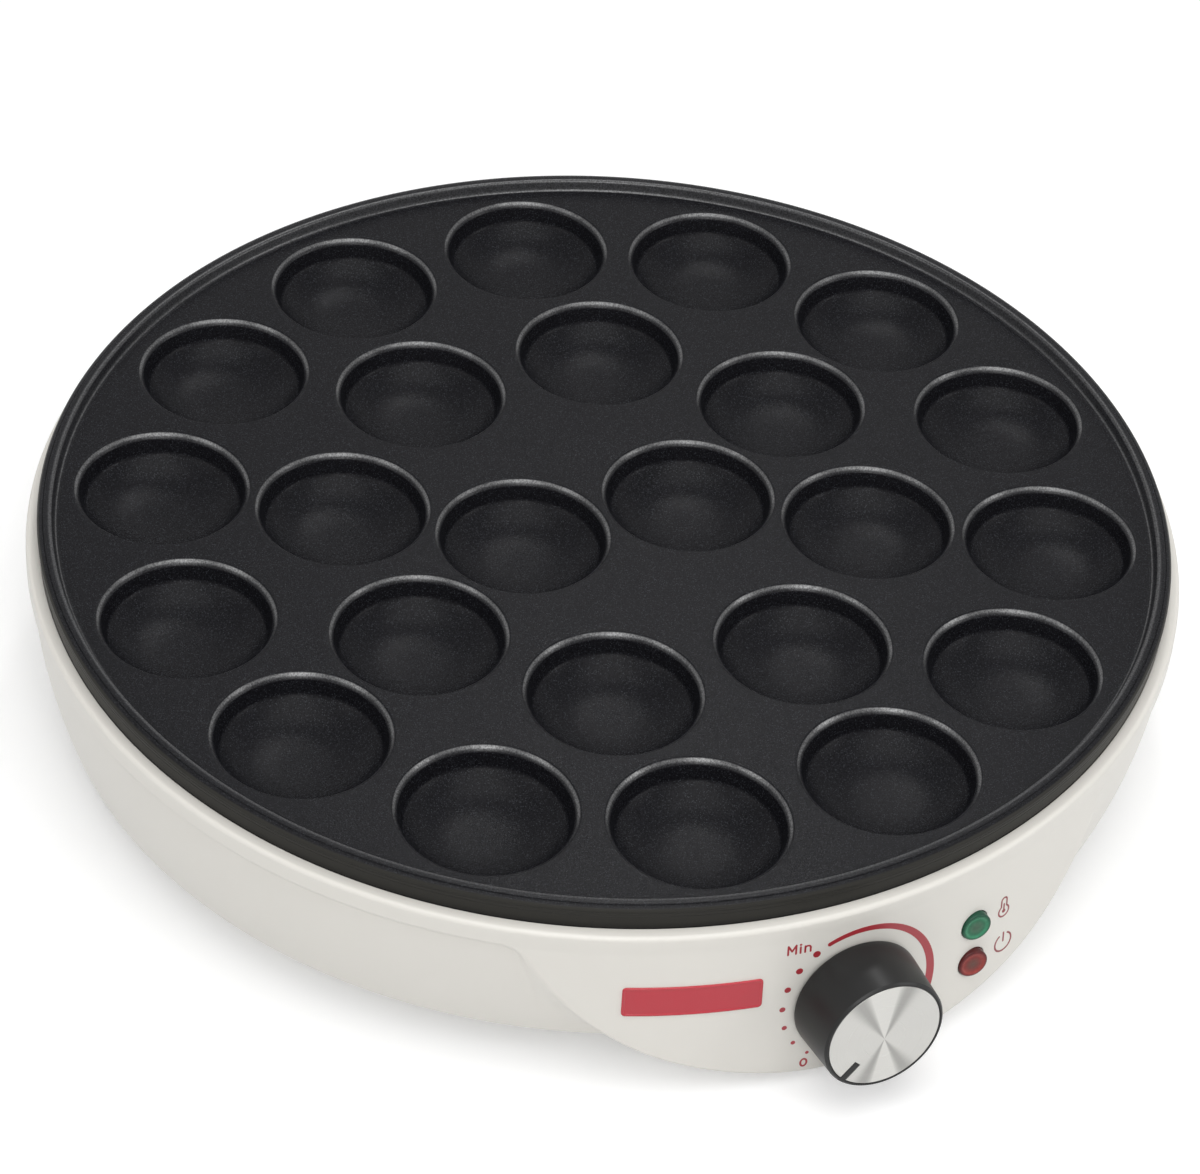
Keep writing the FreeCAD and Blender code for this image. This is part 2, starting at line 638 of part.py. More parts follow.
def make_element_bushes():
    """Ceramic bushes that carry the cold pins through the shield."""
    bushes = []
    foot = f"{SHIELD_FOOT} - bush_collar"
    neck = "bush_collar + 2.2 * shield_steel"
    for index, (x, y) in enumerate(pin_places()):
        flange = cylinder(f"bush_{index}_flange", "pin_radius + bush_wall + bush_flange", "bush_collar",
                          turned(x, y, foot))
        sleeve = cylinder(f"bush_{index}_sleeve", "pin_radius + bush_wall", neck, turned(x, y, foot))
        bore = cylinder(f"bush_{index}_bore", "pin_radius + thread_gap", f"{neck} + 2",
                        turned(x, y, f"{foot} - 1"))
        bushes.append(cut(f"bush_{index}", fuse(f"bush_{index}_blank", [flange, sleeve]), bore))
    finished(group("element_bushes", bushes), "element_bushes")


def make_element_saddles():
    """Bridges of bent sheet that press the elements up against the wells."""
    saddles = []
    for name, radius, angles in (("outer", OUTER_RING, (150, 210, 270, 330, 30)),
                                 ("inner", "inner_ring", (180, 270, 0))):
        for angle in angles:
            x, y = on_ring(radius, angle)
            place = turned(x, y, SHIELD_TOP, angle=angle)
            under = turned(x, y, f"{SHIELD_TOP} - 1", angle=angle)
            block = box(f"{name}_saddle_{angle}_block", "element_section + 5", "10", "saddle_height", place)
            arch = box(f"{name}_saddle_{angle}_arch", "element_section + 7", "6",
                       "saddle_height - saddle_steel + 1", under)
            saddles.append(cut(f"{name}_saddle_{angle}", block, arch))
    finished(group("element_saddles", saddles), "element_saddles")


def make_heat_shield():
    """Stepped pan: a flange on the housing's ledge, a side wall, a shelf and a deeper middle."""
    body = new_body("heat_shield")
    sketch = body_sketch(body, "shield_profile", "XZ_Plane")
    flange_radius = f"{LIP_RADIUS} - plate_gap"
    outline(sketch, [
        ("0", SHIELD_FOOT),
        (f"{STEP_RADIUS} + shield_steel", SHIELD_FOOT),
        (f"{STEP_RADIUS} + shield_steel + 0.5", SHELF_FOOT),
        (SHIELD_RADIUS, SHELF_FOOT),
        (SHIELD_RADIUS, LEDGE_TOP),
        (flange_radius, LEDGE_TOP),
        (flange_radius, f"{LEDGE_TOP} + shield_steel"),
        (f"{SHIELD_RADIUS} - shield_steel", f"{LEDGE_TOP} + shield_steel"),
        (f"{SHIELD_RADIUS} - shield_steel", SHELF_TOP),
        (f"{STEP_RADIUS} + 0.5", SHELF_TOP),
        (STEP_RADIUS, SHIELD_TOP),
        ("0", SHIELD_TOP),
    ])
    body_revolve(body, "shield_pan", sketch)
    posts = body_sketch(body, "post_holes", "XY_Plane", f"{SHELF_TOP} + 1")
    for x, y in post_places():
        ring(posts, x, y, "screw_radius + screw_play")
    body_pocket(body, "post_openings", posts, "shield_steel + 2")
    pins = body_sketch(body, "pin_holes", "XY_Plane", f"{SHIELD_TOP} + 1")
    for x, y in pin_places():
        ring(pins, x, y, "pin_radius + bush_wall + thread_gap")
    ring(pins, "-(bulb_length / 2 + 6)", "-bulb_offset", "capillary_radius + 1.5")
    ring(pins, EARTH_X, EARTH_Y, "small_screw_radius + thread_gap")
    body_pocket(body, "pin_openings", pins, "shield_steel + 2")
    finished(body, "heat_shield")


def make_earthing():
    """Earth tag under the heat shield with its screw and nut."""
    steel = "0.8"
    tag = box("earth_tag_blank", "14", "8", steel,
              turned(f"{EARTH_X} + 3", EARTH_Y, f"{SHIELD_FOOT} - {steel}"))
    hole = cylinder("earth_tag_hole", "small_screw_radius + thread_gap", "4",
                    turned(EARTH_X, EARTH_Y, f"{SHIELD_FOOT} - 2"))
    finished(cut("earth_tag", tag, hole), "earth_tag")
    head = cylinder("earth_screw_head", "small_head_radius", "small_head",
                    turned(EARTH_X, EARTH_Y, f"{SHIELD_FOOT} - {steel} - small_head"))
    shank = cylinder("earth_screw_shank", "small_screw_radius", f"{steel} + shield_steel + 3",
                     turned(EARTH_X, EARTH_Y, f"{SHIELD_FOOT} - {steel}"))
    finished(fuse("earth_screw", [head, shank]), "earth_screw")
    blank = hexagon("earth_nut_blank", "2 * small_screw_radius", "2.4", turned(EARTH_X, EARTH_Y, SHIELD_TOP))
    bore = cylinder("earth_nut_bore", "small_screw_radius + thread_gap", "5",
                    turned(EARTH_X, EARTH_Y, f"{SHIELD_TOP} - 1"))
    finished(cut("earth_nut", blank, bore), "earth_nut")


def make_plate_fixings():
    spacers = []
    screws = []
    head_foot = f"{FLANGE_FOOT} - screw_head"
    for index, (x, y) in enumerate(post_places()):
        bush = cylinder(f"spacer_{index}_bush", "plate_boss_radius + 0.5", "spacer_height",
                        turned(x, y, SHELF_TOP))
        hole = cylinder(f"spacer_{index}_hole", "screw_radius + screw_play", "spacer_height + 2",
                        turned(x, y, f"{SHELF_TOP} - 1"))
        spacers.append(cut(f"spacer_{index}", bush, hole))
        head = cylinder(f"plate_screw_{index}_head", "screw_head_radius", "screw_head",
                        turned(x, y, head_foot))
        shank = cylinder(f"plate_screw_{index}_shank", "screw_radius",
                         f"{BOSS_FOOT} + screw_bite - {FLANGE_FOOT}", turned(x, y, FLANGE_FOOT))
        slot = box(f"plate_screw_{index}_slot", "1", "2 * screw_head_radius + 1", "screw_head / 2",
                   turned(x, y, f"{head_foot} - 0.2"))
        blank = fuse(f"plate_screw_{index}_blank", [head, shank])
        screws.append(cut(f"plate_screw_{index}", blank, slot))
    finished(group("plate_spacers", spacers), "plate_spacers")
    finished(group("plate_screws", screws), "plate_screws")


# Housing

BELLY_Z = "(apron_foot + apron_belly_radius)"
SIDE_TOP = f"({BAND_FOOT} - apron_straight)"
SIDE_RADIUS = (f"(({SIDE_TOP} - apron_foot - apron_belly_radius * (1 - cos(apron_belly_angle)))"
               " / (cos(apron_belly_angle) - cos(apron_side_angle)))")
SIDE_X = f"((apron_belly_radius - {SIDE_RADIUS}) * sin(apron_belly_angle))"
SIDE_Z = f"({BELLY_Z} - (apron_belly_radius - {SIDE_RADIUS}) * cos(apron_belly_angle))"


def apron_path(inset, top, corner):
    """Front view of the apron, mirrored about X = 0, with its lower edge moved in by the inset.

    A wide belly arc runs into a tighter rising arc and a straight flank. Outside, the flank sweeps
    out again into the rim band with the corner radius.
    """
    belly = f"(apron_belly_radius - {inset})"
    side = f"({SIDE_RADIUS} - {inset})"
    belly_x = f"{belly} * sin(apron_belly_angle)"
    belly_z = f"{BELLY_Z} - {belly} * cos(apron_belly_angle)"
    side_x = f"({SIDE_X} + {side} * sin(apron_side_angle))"
    side_z = f"({SIDE_Z} - {side} * cos(apron_side_angle))"
    flank_x = f"({side_x} + ({top} - {side_z}) / tan(apron_side_angle))"
    lower = [(f"-({belly_x})", belly_z, belly), (belly_x, belly_z, side), (side_x, side_z)]
    if not corner:
        return lower + [(flank_x, top), (f"-{flank_x}", top), (f"-{side_x}", side_z, side)]
    set_back = "(apron_corner_radius * tan(apron_side_angle / 2))"
    low_x = f"({flank_x} - {set_back} * cos(apron_side_angle))"
    low_z = f"{top} - {set_back} * sin(apron_side_angle)"
    high_x = f"({flank_x} + {set_back})"
    upper = [
        (low_x, low_z, "-apron_corner_radius"),
        (high_x, top),
        (high_x, f"{top} + 1"),
        (f"-{high_x}", f"{top} + 1"),
        (f"-{high_x}", top, "-apron_corner_radius"),
        (f"-{low_x}", low_z),
    ]
    return lower + upper + [(f"-{side_x}", side_z, side)]


def make_base_housing():
    wall = "housing_wall"
    shell_outer = part_revolve("shell_outer", [
        ("0", "wall_foot_height"),
        (WALL_FOOT_RADIUS, "wall_foot_height", "wall_bow_radius"),
        (WALL_TOP_RADIUS, f"{BAND_FOOT} - band_step / 2"),
        (HOUSING_RADIUS, BAND_FOOT),
        (HOUSING_RADIUS, f"{LIP_TOP} - lip_round"),
        (f"{HOUSING_RADIUS} - 0.15 * lip_round", f"{LIP_TOP} - 0.45 * lip_round"),
        (f"{HOUSING_RADIUS} - 0.45 * lip_round", f"{LIP_TOP} - 0.15 * lip_round"),
        (f"{HOUSING_RADIUS} - lip_round", LIP_TOP),
        ("0", LIP_TOP),
    ])
    rise = f"({BAND_FOOT} + 1)"
    face = cone("apron_face", f"{HOUSING_RADIUS} + {BAND_FOOT} * tan(apron_lean)",
                f"{HOUSING_RADIUS} - tan(apron_lean)", rise)
    block = part_extrude("apron_block", apron_path("0", BAND_FOOT, True), "-0.4 * plate_radius",
                         "-1.3 * plate_radius")
    outer = fuse("housing_outer", [shell_outer, common("apron", [face, block])])

    shell_inner = part_revolve("shell_inner", [
        ("0", "-1"),
        (f"{WALL_FOOT_RADIUS} - {wall}", "-1"),
        (f"{WALL_FOOT_RADIUS} - {wall}", "wall_foot_height", "wall_bow_radius"),
        (f"{WALL_TOP_RADIUS} - {wall}", LEDGE_FOOT),
        (LEDGE_RADIUS, LEDGE_FOOT),
        (LEDGE_RADIUS, LEDGE_TOP),
        (LIP_RADIUS, LEDGE_TOP),
        (LIP_RADIUS, f"{LIP_TOP} + 1"),
        ("0", f"{LIP_TOP} + 1"),
    ])
    inner_face = cone("apron_inner_face", f"{HOUSING_RADIUS} - {wall} + {BAND_FOOT} * tan(apron_lean)",
                      f"{HOUSING_RADIUS} - {wall} - tan(apron_lean)", rise)
    inner_block = part_extrude("apron_inner_block", apron_path(wall, LEDGE_FOOT, False),
                               "-0.4 * plate_radius", "-1.3 * plate_radius")
    hollow = common("apron_hollow", [inner_face, inner_block])
    shell = cut("housing_shell", outer, fuse("housing_hollow", [shell_inner, hollow]))

    additions = [shell]
    openings = []
    for index, (angle, x, y) in enumerate(cover_screw_places()):
        length = "cover_boss_length"
        additions.append(cylinder(f"cover_boss_{index}", "cover_boss_radius", length,
                                  turned(x, y, FLANGE_TOP)))
        rib = "(cover_screw_inset + 1.5)"
        rib_x, rib_y = on_ring(f"({COVER_SCREW_RING} + {rib} / 2)", angle)
        additions.append(box(f"cover_boss_rib_{index}", rib, "2.4", length,
                             turned(rib_x, rib_y, FLANGE_TOP, angle=angle)))
        openings.append(cylinder(f"cover_boss_bore_{index}", "small_screw_radius + thread_gap",
                                 f"{length} - 1.5", turned(x, y, f"{FLANGE_TOP} - 0.1")))
    dial = panel_place(DIAL_Z)
    for side in (-1, 1):
        seat = dial.multiply(turned(x=f"{side} * bracket_reach", z="-bracket_set_back"))
        boss = f"(bracket_set_back - {wall} / 2)"
        additions.append(cylinder(f"bracket_boss_{side + 1}", "small_screw_radius + 2", boss, seat))
        openings.append(cylinder(f"bracket_bore_{side + 1}", "small_screw_radius + thread_gap",
                                 "0.7 * bracket_set_back", seat.multiply(turned(z="-0.1"))))
    pad_length = f"({INLET_FACE} - {WALL_FOOT_RADIUS} + 2)"
    pad_foot = f"{INLET_Z} - inlet_height / 2 - inlet_lip + 0.5"
    additions.append(box("inlet_pad_block", "inlet_width + 2 * inlet_lip + 2", pad_length,
                         "inlet_height + 2 * inlet_lip - 1",
                         turned(0, f"{INLET_FACE} - {pad_length} / 2", pad_foot)))
    openings.append(box("inlet_hole", "inlet_width + 2 * inlet_wall + 2 * thread_gap", "30",
                        "inlet_height + 2 * inlet_wall + 2 * thread_gap",
                        turned(0, INLET_FACE, f"{INLET_Z} - inlet_height / 2 - inlet_wall - thread_gap")))
    openings.append(cylinder("dial_hole", "collar_radius + 1.2", "12", dial.multiply(turned(z="-9"))))
    for name, height in LAMPS:
        place = panel_place(height, "lamp_side").multiply(turned(z="-lamp_sleeve"))
        tube = cylinder(f"{name}_sleeve", "lens_radius + lamp_hole_gap + sleeve_wall", "2 * lamp_sleeve",
                        place)
        additions.append(common(f"{name}_sleeve_trimmed", [tube, face]))
        bore = place.multiply(turned(z="-1"))
        openings.append(cylinder(f"{name}_hole", "lens_radius + lamp_hole_gap", "2 * lamp_sleeve + 2", bore))
    solid = fuse("housing_solid", additions)
    finished(cut("base_housing", solid, fuse("housing_openings", openings)), "base_housing")


# Bottom cover

TRAY_HALF = "(lamp_side + lens_radius + lens_flange + cover_wall + 1.4)"


def tray(name, inset, back):
    """Trough that follows the apron's lower edge and reaches up to the flange's top."""
    belly = f"(apron_belly_radius - tray_lift - {inset})"
    half = f"({TRAY_HALF} - {inset})"
    top = f"({FLANGE_TOP} + {inset})"
    end_z = f"{BELLY_Z} - sqrt({belly} * {belly} - {half} * {half})"
    return part_extrude(name, [
        (f"-{half}", end_z, belly),
        (half, end_z),
        (half, top),
        (f"-{half}", top),
    ], f"-({back})", "-1.3 * plate_radius")


def make_base_cover():
    dish_outer = part_revolve("dish_outer", [
        ("0", "cover_floor_height"),
        (FLOOR_RADIUS, "cover_floor_height"),
        (FLANGE_RADIUS, FLANGE_FOOT),
        (COVER_RADIUS, FLANGE_FOOT),
        (COVER_RADIUS, FLANGE_TOP),
        ("0", FLANGE_TOP),
    ])
    dish_inner = part_revolve("dish_inner", [
        ("0", COVER_TOP),
        (f"{FLOOR_RADIUS} - 1", COVER_TOP),
        (f"{FLANGE_RADIUS} - 1", FLANGE_TOP),
        (f"{FLANGE_RADIUS} - 1", f"{FLANGE_TOP} + 1"),
        ("0", f"{FLANGE_TOP} + 1"),
    ])
    tray_back = f"({FLOOR_RADIUS} - 4)"
    reach = cylinder("tray_reach", COVER_RADIUS, FLANGE_TOP)
    tray_outer = common("tray_outer", [tray("tray_block", "0", tray_back), reach])
    inner_reach = cylinder("tray_inner_reach", f"{COVER_RADIUS} + 1", f"{FLANGE_TOP} + 5")
    tray_block = tray("tray_hollow", "cover_wall", f"{tray_back} + cover_wall")
    tray_inner = common("tray_inner", [tray_block, inner_reach])
    outer = fuse("cover_outer", [dish_outer, tray_outer])
    shell = cut("cover_shell", outer, fuse("cover_hollow", [dish_inner, tray_inner]))

    additions = [shell]
    openings = []
    through = "cover_wall + 4"
    for index, (x, y) in enumerate(post_places()):
        rise = f"({SHELF_FOOT} - {FLANGE_FOOT})"
        additions.append(cylinder(f"pillar_{index}", "pillar_radius", rise, turned(x, y, FLANGE_FOOT)))
        openings.append(cylinder(f"pillar_bore_{index}", "screw_radius + screw_play", f"{rise} + 4",
                                 turned(x, y, f"{FLANGE_FOOT} - 2")))
    for index, (angle, x, y) in enumerate(cover_screw_places()):
        openings.append(cylinder(f"cover_hole_{index}", "small_screw_radius + screw_play", through,
                                 turned(x, y, f"{FLANGE_FOOT} - 2")))
    for index, angle in enumerate((45, 135, 225, 315)):
        x, y = on_ring(FOOT_RING, angle)
        openings.append(cylinder(f"foot_hole_{index}", "foot_stem_radius + thread_gap", through,
                                 turned(x, y, "cover_floor_height - 2")))
    for index in range(int(number("vent_count"))):
        angle = f"360 / vent_count * ({index} + 0.5)"
        x, y = on_ring("vent_ring", angle)
        openings.append(box(f"vent_{index}", "vent_length", "vent_width", through,
                            turned(x, y, "cover_floor_height - 2", angle=angle)))
    solid = fuse("cover_solid", additions)
    finished(cut("base_cover", solid, fuse("cover_openings", openings)), "base_cover")


def make_cover_screws():
    screws = []
    for index, (angle, x, y) in enumerate(cover_screw_places()):
        head = cylinder(f"cover_screw_{index}_head", "small_head_radius", "small_head",
                        turned(x, y, f"{FLANGE_FOOT} - small_head"))
        shank = cylinder(f"cover_screw_{index}_shank", "small_screw_radius",
                         "cover_wall + 0.7 * cover_boss_length", turned(x, y, FLANGE_FOOT))
        screws.append(fuse(f"cover_screw_{index}", [head, shank]))
    finished(group("cover_screws", screws), "cover_screws")


def make_rubber_feet():
    """Each foot stands under the cover's floor and grips it with a barbed stem."""
    feet = []
    for index, angle in enumerate((45, 135, 225, 315)):
        foot = part_revolve(f"foot_{index}", [
            ("0", "0"),
            ("foot_radius - 1", "0"),
            ("foot_radius", "1"),
            ("foot_radius - 0.6", "cover_floor_height"),
            ("foot_stem_radius", "cover_floor_height"),
            ("foot_stem_radius", COVER_TOP),
            ("foot_head_radius", f"{COVER_TOP} + 0.8"),
            ("foot_stem_radius - 1", f"{COVER_TOP} + 3"),
            ("0", f"{COVER_TOP} + 3"),
        ])
        x, y = on_ring(FOOT_RING, angle)
        foot.Placement = turned(x, y, "0")
        feet.append(foot)
    finished(group("rubber_feet", feet), "rubber_feet")


# Thermostat and knob, drawn on the dial's axis: local Z points out of the apron, local Y up it

BRACKET_FRONT = "(-bracket_set_back)"
BRACKET_BACK = "(-bracket_set_back - bracket_steel)"
THERMOSTAT_BACK = f"({BRACKET_BACK} - thermostat_depth)"
THERMOSTAT_Y = "(thermostat_top - thermostat_height / 2)"
KNOB_TOP = "(knob_gap + knob_length)"
DISC_FOOT = f"({KNOB_TOP} - disc_steel)"
BORE_END = f"({DISC_FOOT} - knob_web)"
SHAFT_FOOT = f"({BRACKET_BACK} - 6.5)"


def on_dial(feature, label):
    """Stand a finished piece on the dial's axis and list it."""
    feature.Placement = panel_place(DIAL_Z).multiply(feature.Placement)
    finished(feature, label)


def d_section(name, radius, flat, foot, top):
    """Round bar with one flat, along local Z from foot to top: the flat faces local +X."""
    length = f"({top} - {foot})"
    bar = cylinder(f"{name}_bar", radius, length, turned(z=foot))
    slab = box(f"{name}_slab", f"2 * ({radius})", f"2 * ({radius}) + 2", f"{length} + 2",
               turned(x=f"{flat} + {radius}", z=f"{foot} - 1"))
    return cut(name, bar, slab)


def make_thermostat():
    block = box("thermostat_block", "thermostat_width", "thermostat_height", "thermostat_depth",
                turned(y=THERMOSTAT_Y, z=THERMOSTAT_BACK))
    collar = cylinder("thermostat_collar", "collar_radius", "bracket_steel + 4",
                      turned(z=f"{BRACKET_BACK} - 0.5"))
    diaphragm = cylinder("thermostat_diaphragm", "0.4 * thermostat_height", "diaphragm_depth + 1",
                         turned(y=THERMOSTAT_Y, z=f"{THERMOSTAT_BACK} - diaphragm_depth"))
    pieces = [block, collar, diaphragm]
    for side in (-1, 1):
        tab_place = turned(x=f"{side} * 0.42 * thermostat_width", y=THERMOSTAT_Y, z=f"{THERMOSTAT_BACK} - 7")
        pieces.append(box(f"thermostat_tab_{side + 1}", "0.8", "6.3", "8", tab_place))
    bore = cylinder("thermostat_bore", "shaft_radius + shaft_play", "20", turned(z=f"{SHAFT_FOOT} - 0.5"))
    on_dial(cut("thermostat_body", fuse("thermostat_blank", pieces), bore), "thermostat_body")

    plate = box("bracket_plate", "2 * (bracket_reach + bracket_edge)", "bracket_width", "bracket_steel",
                turned(z=BRACKET_BACK))
    holes = [cylinder("bracket_collar_hole", "collar_radius + thread_gap", "bracket_steel + 2",
                      turned(z=f"{BRACKET_BACK} - 1"))]
    screws = []
    for side in (-1, 1):
        x = f"{side} * bracket_reach"
        holes.append(cylinder(f"bracket_screw_hole_{side + 1}", "small_screw_radius + screw_play",
                              "bracket_steel + 2", turned(x=x, z=f"{BRACKET_BACK} - 1")))
        head = cylinder(f"bracket_screw_{side + 1}_head", "small_head_radius", "small_head",
                        turned(x=x, z=f"{BRACKET_BACK} - small_head"))
        shank = cylinder(f"bracket_screw_{side + 1}_shank", "small_screw_radius",
                         "bracket_steel + 0.6 * bracket_set_back", turned(x=x, z=BRACKET_BACK))
        screws.append(fuse(f"bracket_screw_{side + 1}", [head, shank]))
    on_dial(cut("thermostat_bracket", plate, fuse("bracket_holes", holes)), "thermostat_bracket")
    on_dial(group("thermostat_screws", screws), "thermostat_screws")

    blank = hexagon("thermostat_nut_blank", "1.5 * collar_radius", "2", turned(z=BRACKET_FRONT))
    hole = cylinder("thermostat_nut_hole", "collar_radius + thread_gap", "4",
                    turned(z=f"{BRACKET_FRONT} - 1"))
    on_dial(cut("thermostat_nut", blank, hole), "thermostat_nut")
    on_dial(d_section("thermostat_shaft", "shaft_radius", "shaft_flat", SHAFT_FOOT, f"{BORE_END} - 0.6"),
            "thermostat_shaft")


def make_knob():
    hub = "(shaft_radius + 2.5)"
    outer = part_revolve("knob_outer", [
        ("0", "knob_gap"),
        ("knob_foot_radius", "knob_gap"),
        ("knob_foot_radius", "knob_gap + 1.2"),
        ("knob_face_radius", f"{KNOB_TOP} - 0.6"),
        ("knob_face_radius - 0.5", KNOB_TOP),
        ("0", KNOB_TOP),
    ])
    hollow = part_revolve("knob_hollow", [
        (hub, "knob_gap - 1"),
        ("knob_foot_radius - knob_wall", "knob_gap - 1"),
        ("knob_face_radius - knob_wall", f"{DISC_FOOT} - knob_wall"),
        (hub, f"{DISC_FOOT} - knob_wall"),
    ])
    pocket_radius = "(knob_face_radius - knob_rim)"
    pocket = cylinder("disc_pocket", pocket_radius, "disc_steel + 1", turned(z=DISC_FOOT))
    bore = d_section("knob_bore", "shaft_radius + shaft_play", "shaft_flat + spring_room", "-1", BORE_END)
    shell = cut("knob_shell", outer, fuse("knob_cuts", [hollow, pocket, bore]))
    reach = f"({pocket_radius} + 0.2 - pointer_start)"
    along = turned(angle="pointer_angle")
    bar = box("pointer_bar", reach, "pointer_width", "disc_steel",
              along.multiply(turned(x=f"pointer_start + {reach} / 2", z=DISC_FOOT)))
    on_dial(fuse("knob_grip", [shell, bar]), "knob_grip")

    disc = cylinder("disc_blank", f"{pocket_radius} - disc_gap", "disc_steel", turned(z=DISC_FOOT))
    slot = box("disc_slot", reach, "pointer_width + 2 * disc_gap", "disc_steel + 2",
               along.multiply(turned(x=f"pointer_start - disc_gap + {reach} / 2", z=f"{DISC_FOOT} - 1")))
    on_dial(cut("knob_disc", disc, slot), "knob_disc")
    on_dial(box("knob_spring", "spring_steel", "shaft_radius", "8",
                turned(x="shaft_flat + spring_room / 2", z=f"{BORE_END} - 9")), "knob_spring")


# Indicator lamps

def make_lamps():
    """Lenses pushed from behind into the housing's sleeves, each held with its lamp by a cup of sheet."""
    holders = []
    retainers = []
    back = "(-lamp_sleeve - lens_flange_length)"
    for name, height in LAMPS:
        place = panel_place(height, "lamp_side")
        lens_outer = part_revolve(f"{name}_lens_outer", [
            ("0", back),
            ("lens_radius + lens_flange", back),
            ("lens_radius + lens_flange", "-lamp_sleeve"),
            ("lens_radius", "-lamp_sleeve"),
            ("lens_radius", "lens_proud - 0.35"),
            ("lens_radius - 0.35", "lens_proud"),
            ("0", "lens_proud"),
        ])
        hollow = cylinder(f"{name}_lens_hollow", "lens_radius - lens_wall", f"1 - {back} - lens_wall",
                          turned(z=f"{back} - 1"))
        lens = cut(f"{name}_lens", lens_outer, hollow)
        lens.Placement = place
        finished(lens, f"{name}_lens")
        cup_foot = f"({back} - retainer_steel)"
        cup_top = f"({cup_foot} + retainer_length)"
        inside = "lens_radius + lamp_hole_gap + sleeve_wall + thread_gap"
        cup = part_revolve(f"{name}_retainer", [
            ("lens_radius - lens_wall", cup_foot),
            (f"{inside} + retainer_steel", cup_foot),
            (f"{inside} + retainer_steel", cup_top),
            (inside, cup_top),
            (inside, back),
            ("lens_radius - lens_wall", back),
        ])
        cup.Placement = place
        retainers.append(cup)
        foot = place.multiply(turned(z=f"{cup_foot} - lamp_cap"))
        neon = cylinder(f"{name}_neon", "lens_radius - lens_wall - 0.3", f"lamp_cap - {cup_foot} - 1.5", foot)
        cap = cylinder(f"{name}_cap", "lens_radius", "lamp_cap", foot)
        holders.append(fuse(f"{name}_holder", [neon, cap]))
    finished(group("lamp_holders", holders), "lamp_holders")
    finished(group("lamp_retainers", retainers), "lamp_retainers")


# Sensing bulb and thermal fuse, both clipped under the plate in the open land between the wells

def make_clipped(rod, clip, radius, length, y, lead):
    """Round piece along X that lies against the plate's web, with a strap clip over its middle."""
    axis_z = f"({WEB_FOOT} - {radius})"
    half = f"({length} / 2)"
    case = cylinder(f"{rod}_case", radius, length, turned(f"-{half}", y, axis_z, axis=(0, 1, 0), angle=90))
    pieces = [case]
    if lead:
        pieces.append(cylinder(f"{rod}_leads", "0.6", f"3 * {length}",
                               turned(f"-3 * {half}", y, axis_z, axis=(0, 1, 0), angle=90)))
    finished(fuse(rod, pieces) if lead else case, rod)
    strap = cylinder(f"{clip}_strap", f"{radius} + thread_gap + clip_sheet", "8",
                     turned("-4", y, axis_z, axis=(0, 1, 0), angle=90))
    ears = box(f"{clip}_ears", "8", f"2 * {CLIP_REACH} + 5 * rivet_radius", "clip_sheet",
               turned(0, y, f"{WEB_FOOT} - clip_sheet"))
    bore = cylinder(f"{clip}_bore", f"{radius} + thread_gap", "12",
                    turned("-6", y, axis_z, axis=(0, 1, 0), angle=90))
    roof = box(f"{clip}_roof", "12", "40", "10", turned(0, y, WEB_FOOT))
    cuts = [bore, roof]
    for side in (-1, 1):
        cuts.append(cylinder(f"{clip}_hole_{side + 1}", "rivet_radius + thread_gap", "4",
                             turned(0, f"{y} + {side} * {CLIP_REACH}", f"{WEB_FOOT} - 3")))
    finished(cut(clip, fuse(f"{clip}_blank", [strap, ears]), fuse(f"{clip}_cuts", cuts)), clip)


def make_sensors():
    make_clipped("sensing_bulb", "bulb_clip", "bulb_radius", "bulb_length", "-bulb_offset", False)
    make_clipped("thermal_fuse", "fuse_clip", "fuse_radius", "fuse_length", "bulb_offset", True)
    rivets = []
    for index, (x, y) in enumerate(rivet_places()):
        head = cylinder(f"rivet_{index}_head", "rivet_radius + 0.8", "0.9",
                        turned(x, y, f"{WEB_FOOT} - clip_sheet - 0.9"))
        shank = cylinder(f"rivet_{index}_shank", "rivet_radius", "clip_sheet + 0.5 * plate_web",
                         turned(x, y, f"{WEB_FOOT} - clip_sheet"))
        rivets.append(fuse(f"rivet_{index}", [head, shank]))
    finished(group("clip_rivets", rivets), "clip_rivets")


def make_capillary():
    """Thin tube from the bulb's end, down through the shield and forward to the thermostat."""
    dial = panel_place(DIAL_Z)
    end = dial.multVec(vector(0, THERMOSTAT_Y, f"{THERMOSTAT_BACK} - diaphragm_depth"))
    out = dial.Rotation.multVec(FreeCAD.Vector(0, 0, -1))
    through = vector("-(bulb_length / 2 + 6)", "-bulb_offset", f"{SHIELD_FOOT} - 6")
    start = vector("-bulb_length / 2", "-bulb_offset", f"{WEB_FOOT} - bulb_radius")
    route = [
        start,
        FreeCAD.Vector(through.x, through.y, start.z),
        through,
        FreeCAD.Vector(0, through.y - number("capillary_run"), through.z),
        end + out * 14,
        end,
    ]
    bend = number("capillary_bend")
    edges = []
    here = route[0]
    for before, corner, after in zip(route, route[1:], route[2:]):
        inward = (before - corner).normalize()
        outward = (after - corner).normalize()
        half_turn = (math.pi - inward.getAngle(outward)) / 2
        run = bend * math.tan(half_turn)
        to_centre = (inward + outward).normalize()
        centre = corner + to_centre * (bend / math.cos(half_turn))
        bend_start = corner + inward * run
        bend_end = corner + outward * run
        edges.append(Part.LineSegment(here, bend_start).toShape())
        edges.append(Part.Arc(bend_start, centre - to_centre * bend, bend_end).toShape())
        here = bend_end
    edges.append(Part.LineSegment(here, route[-1]).toShape())
    spine = Part.Wire(edges)
    section = Part.Wire(Part.makeCircle(number("capillary_radius"), route[0], route[1] - route[0]))
    tube = doc.addObject("Part::Feature", "capillary_tube")
    tube.Shape = Part.Solid(spine.makePipeShell([section], True, True).Shells[0])
    finished(tube, "capillary_tube")


# Cord inlet and terminals

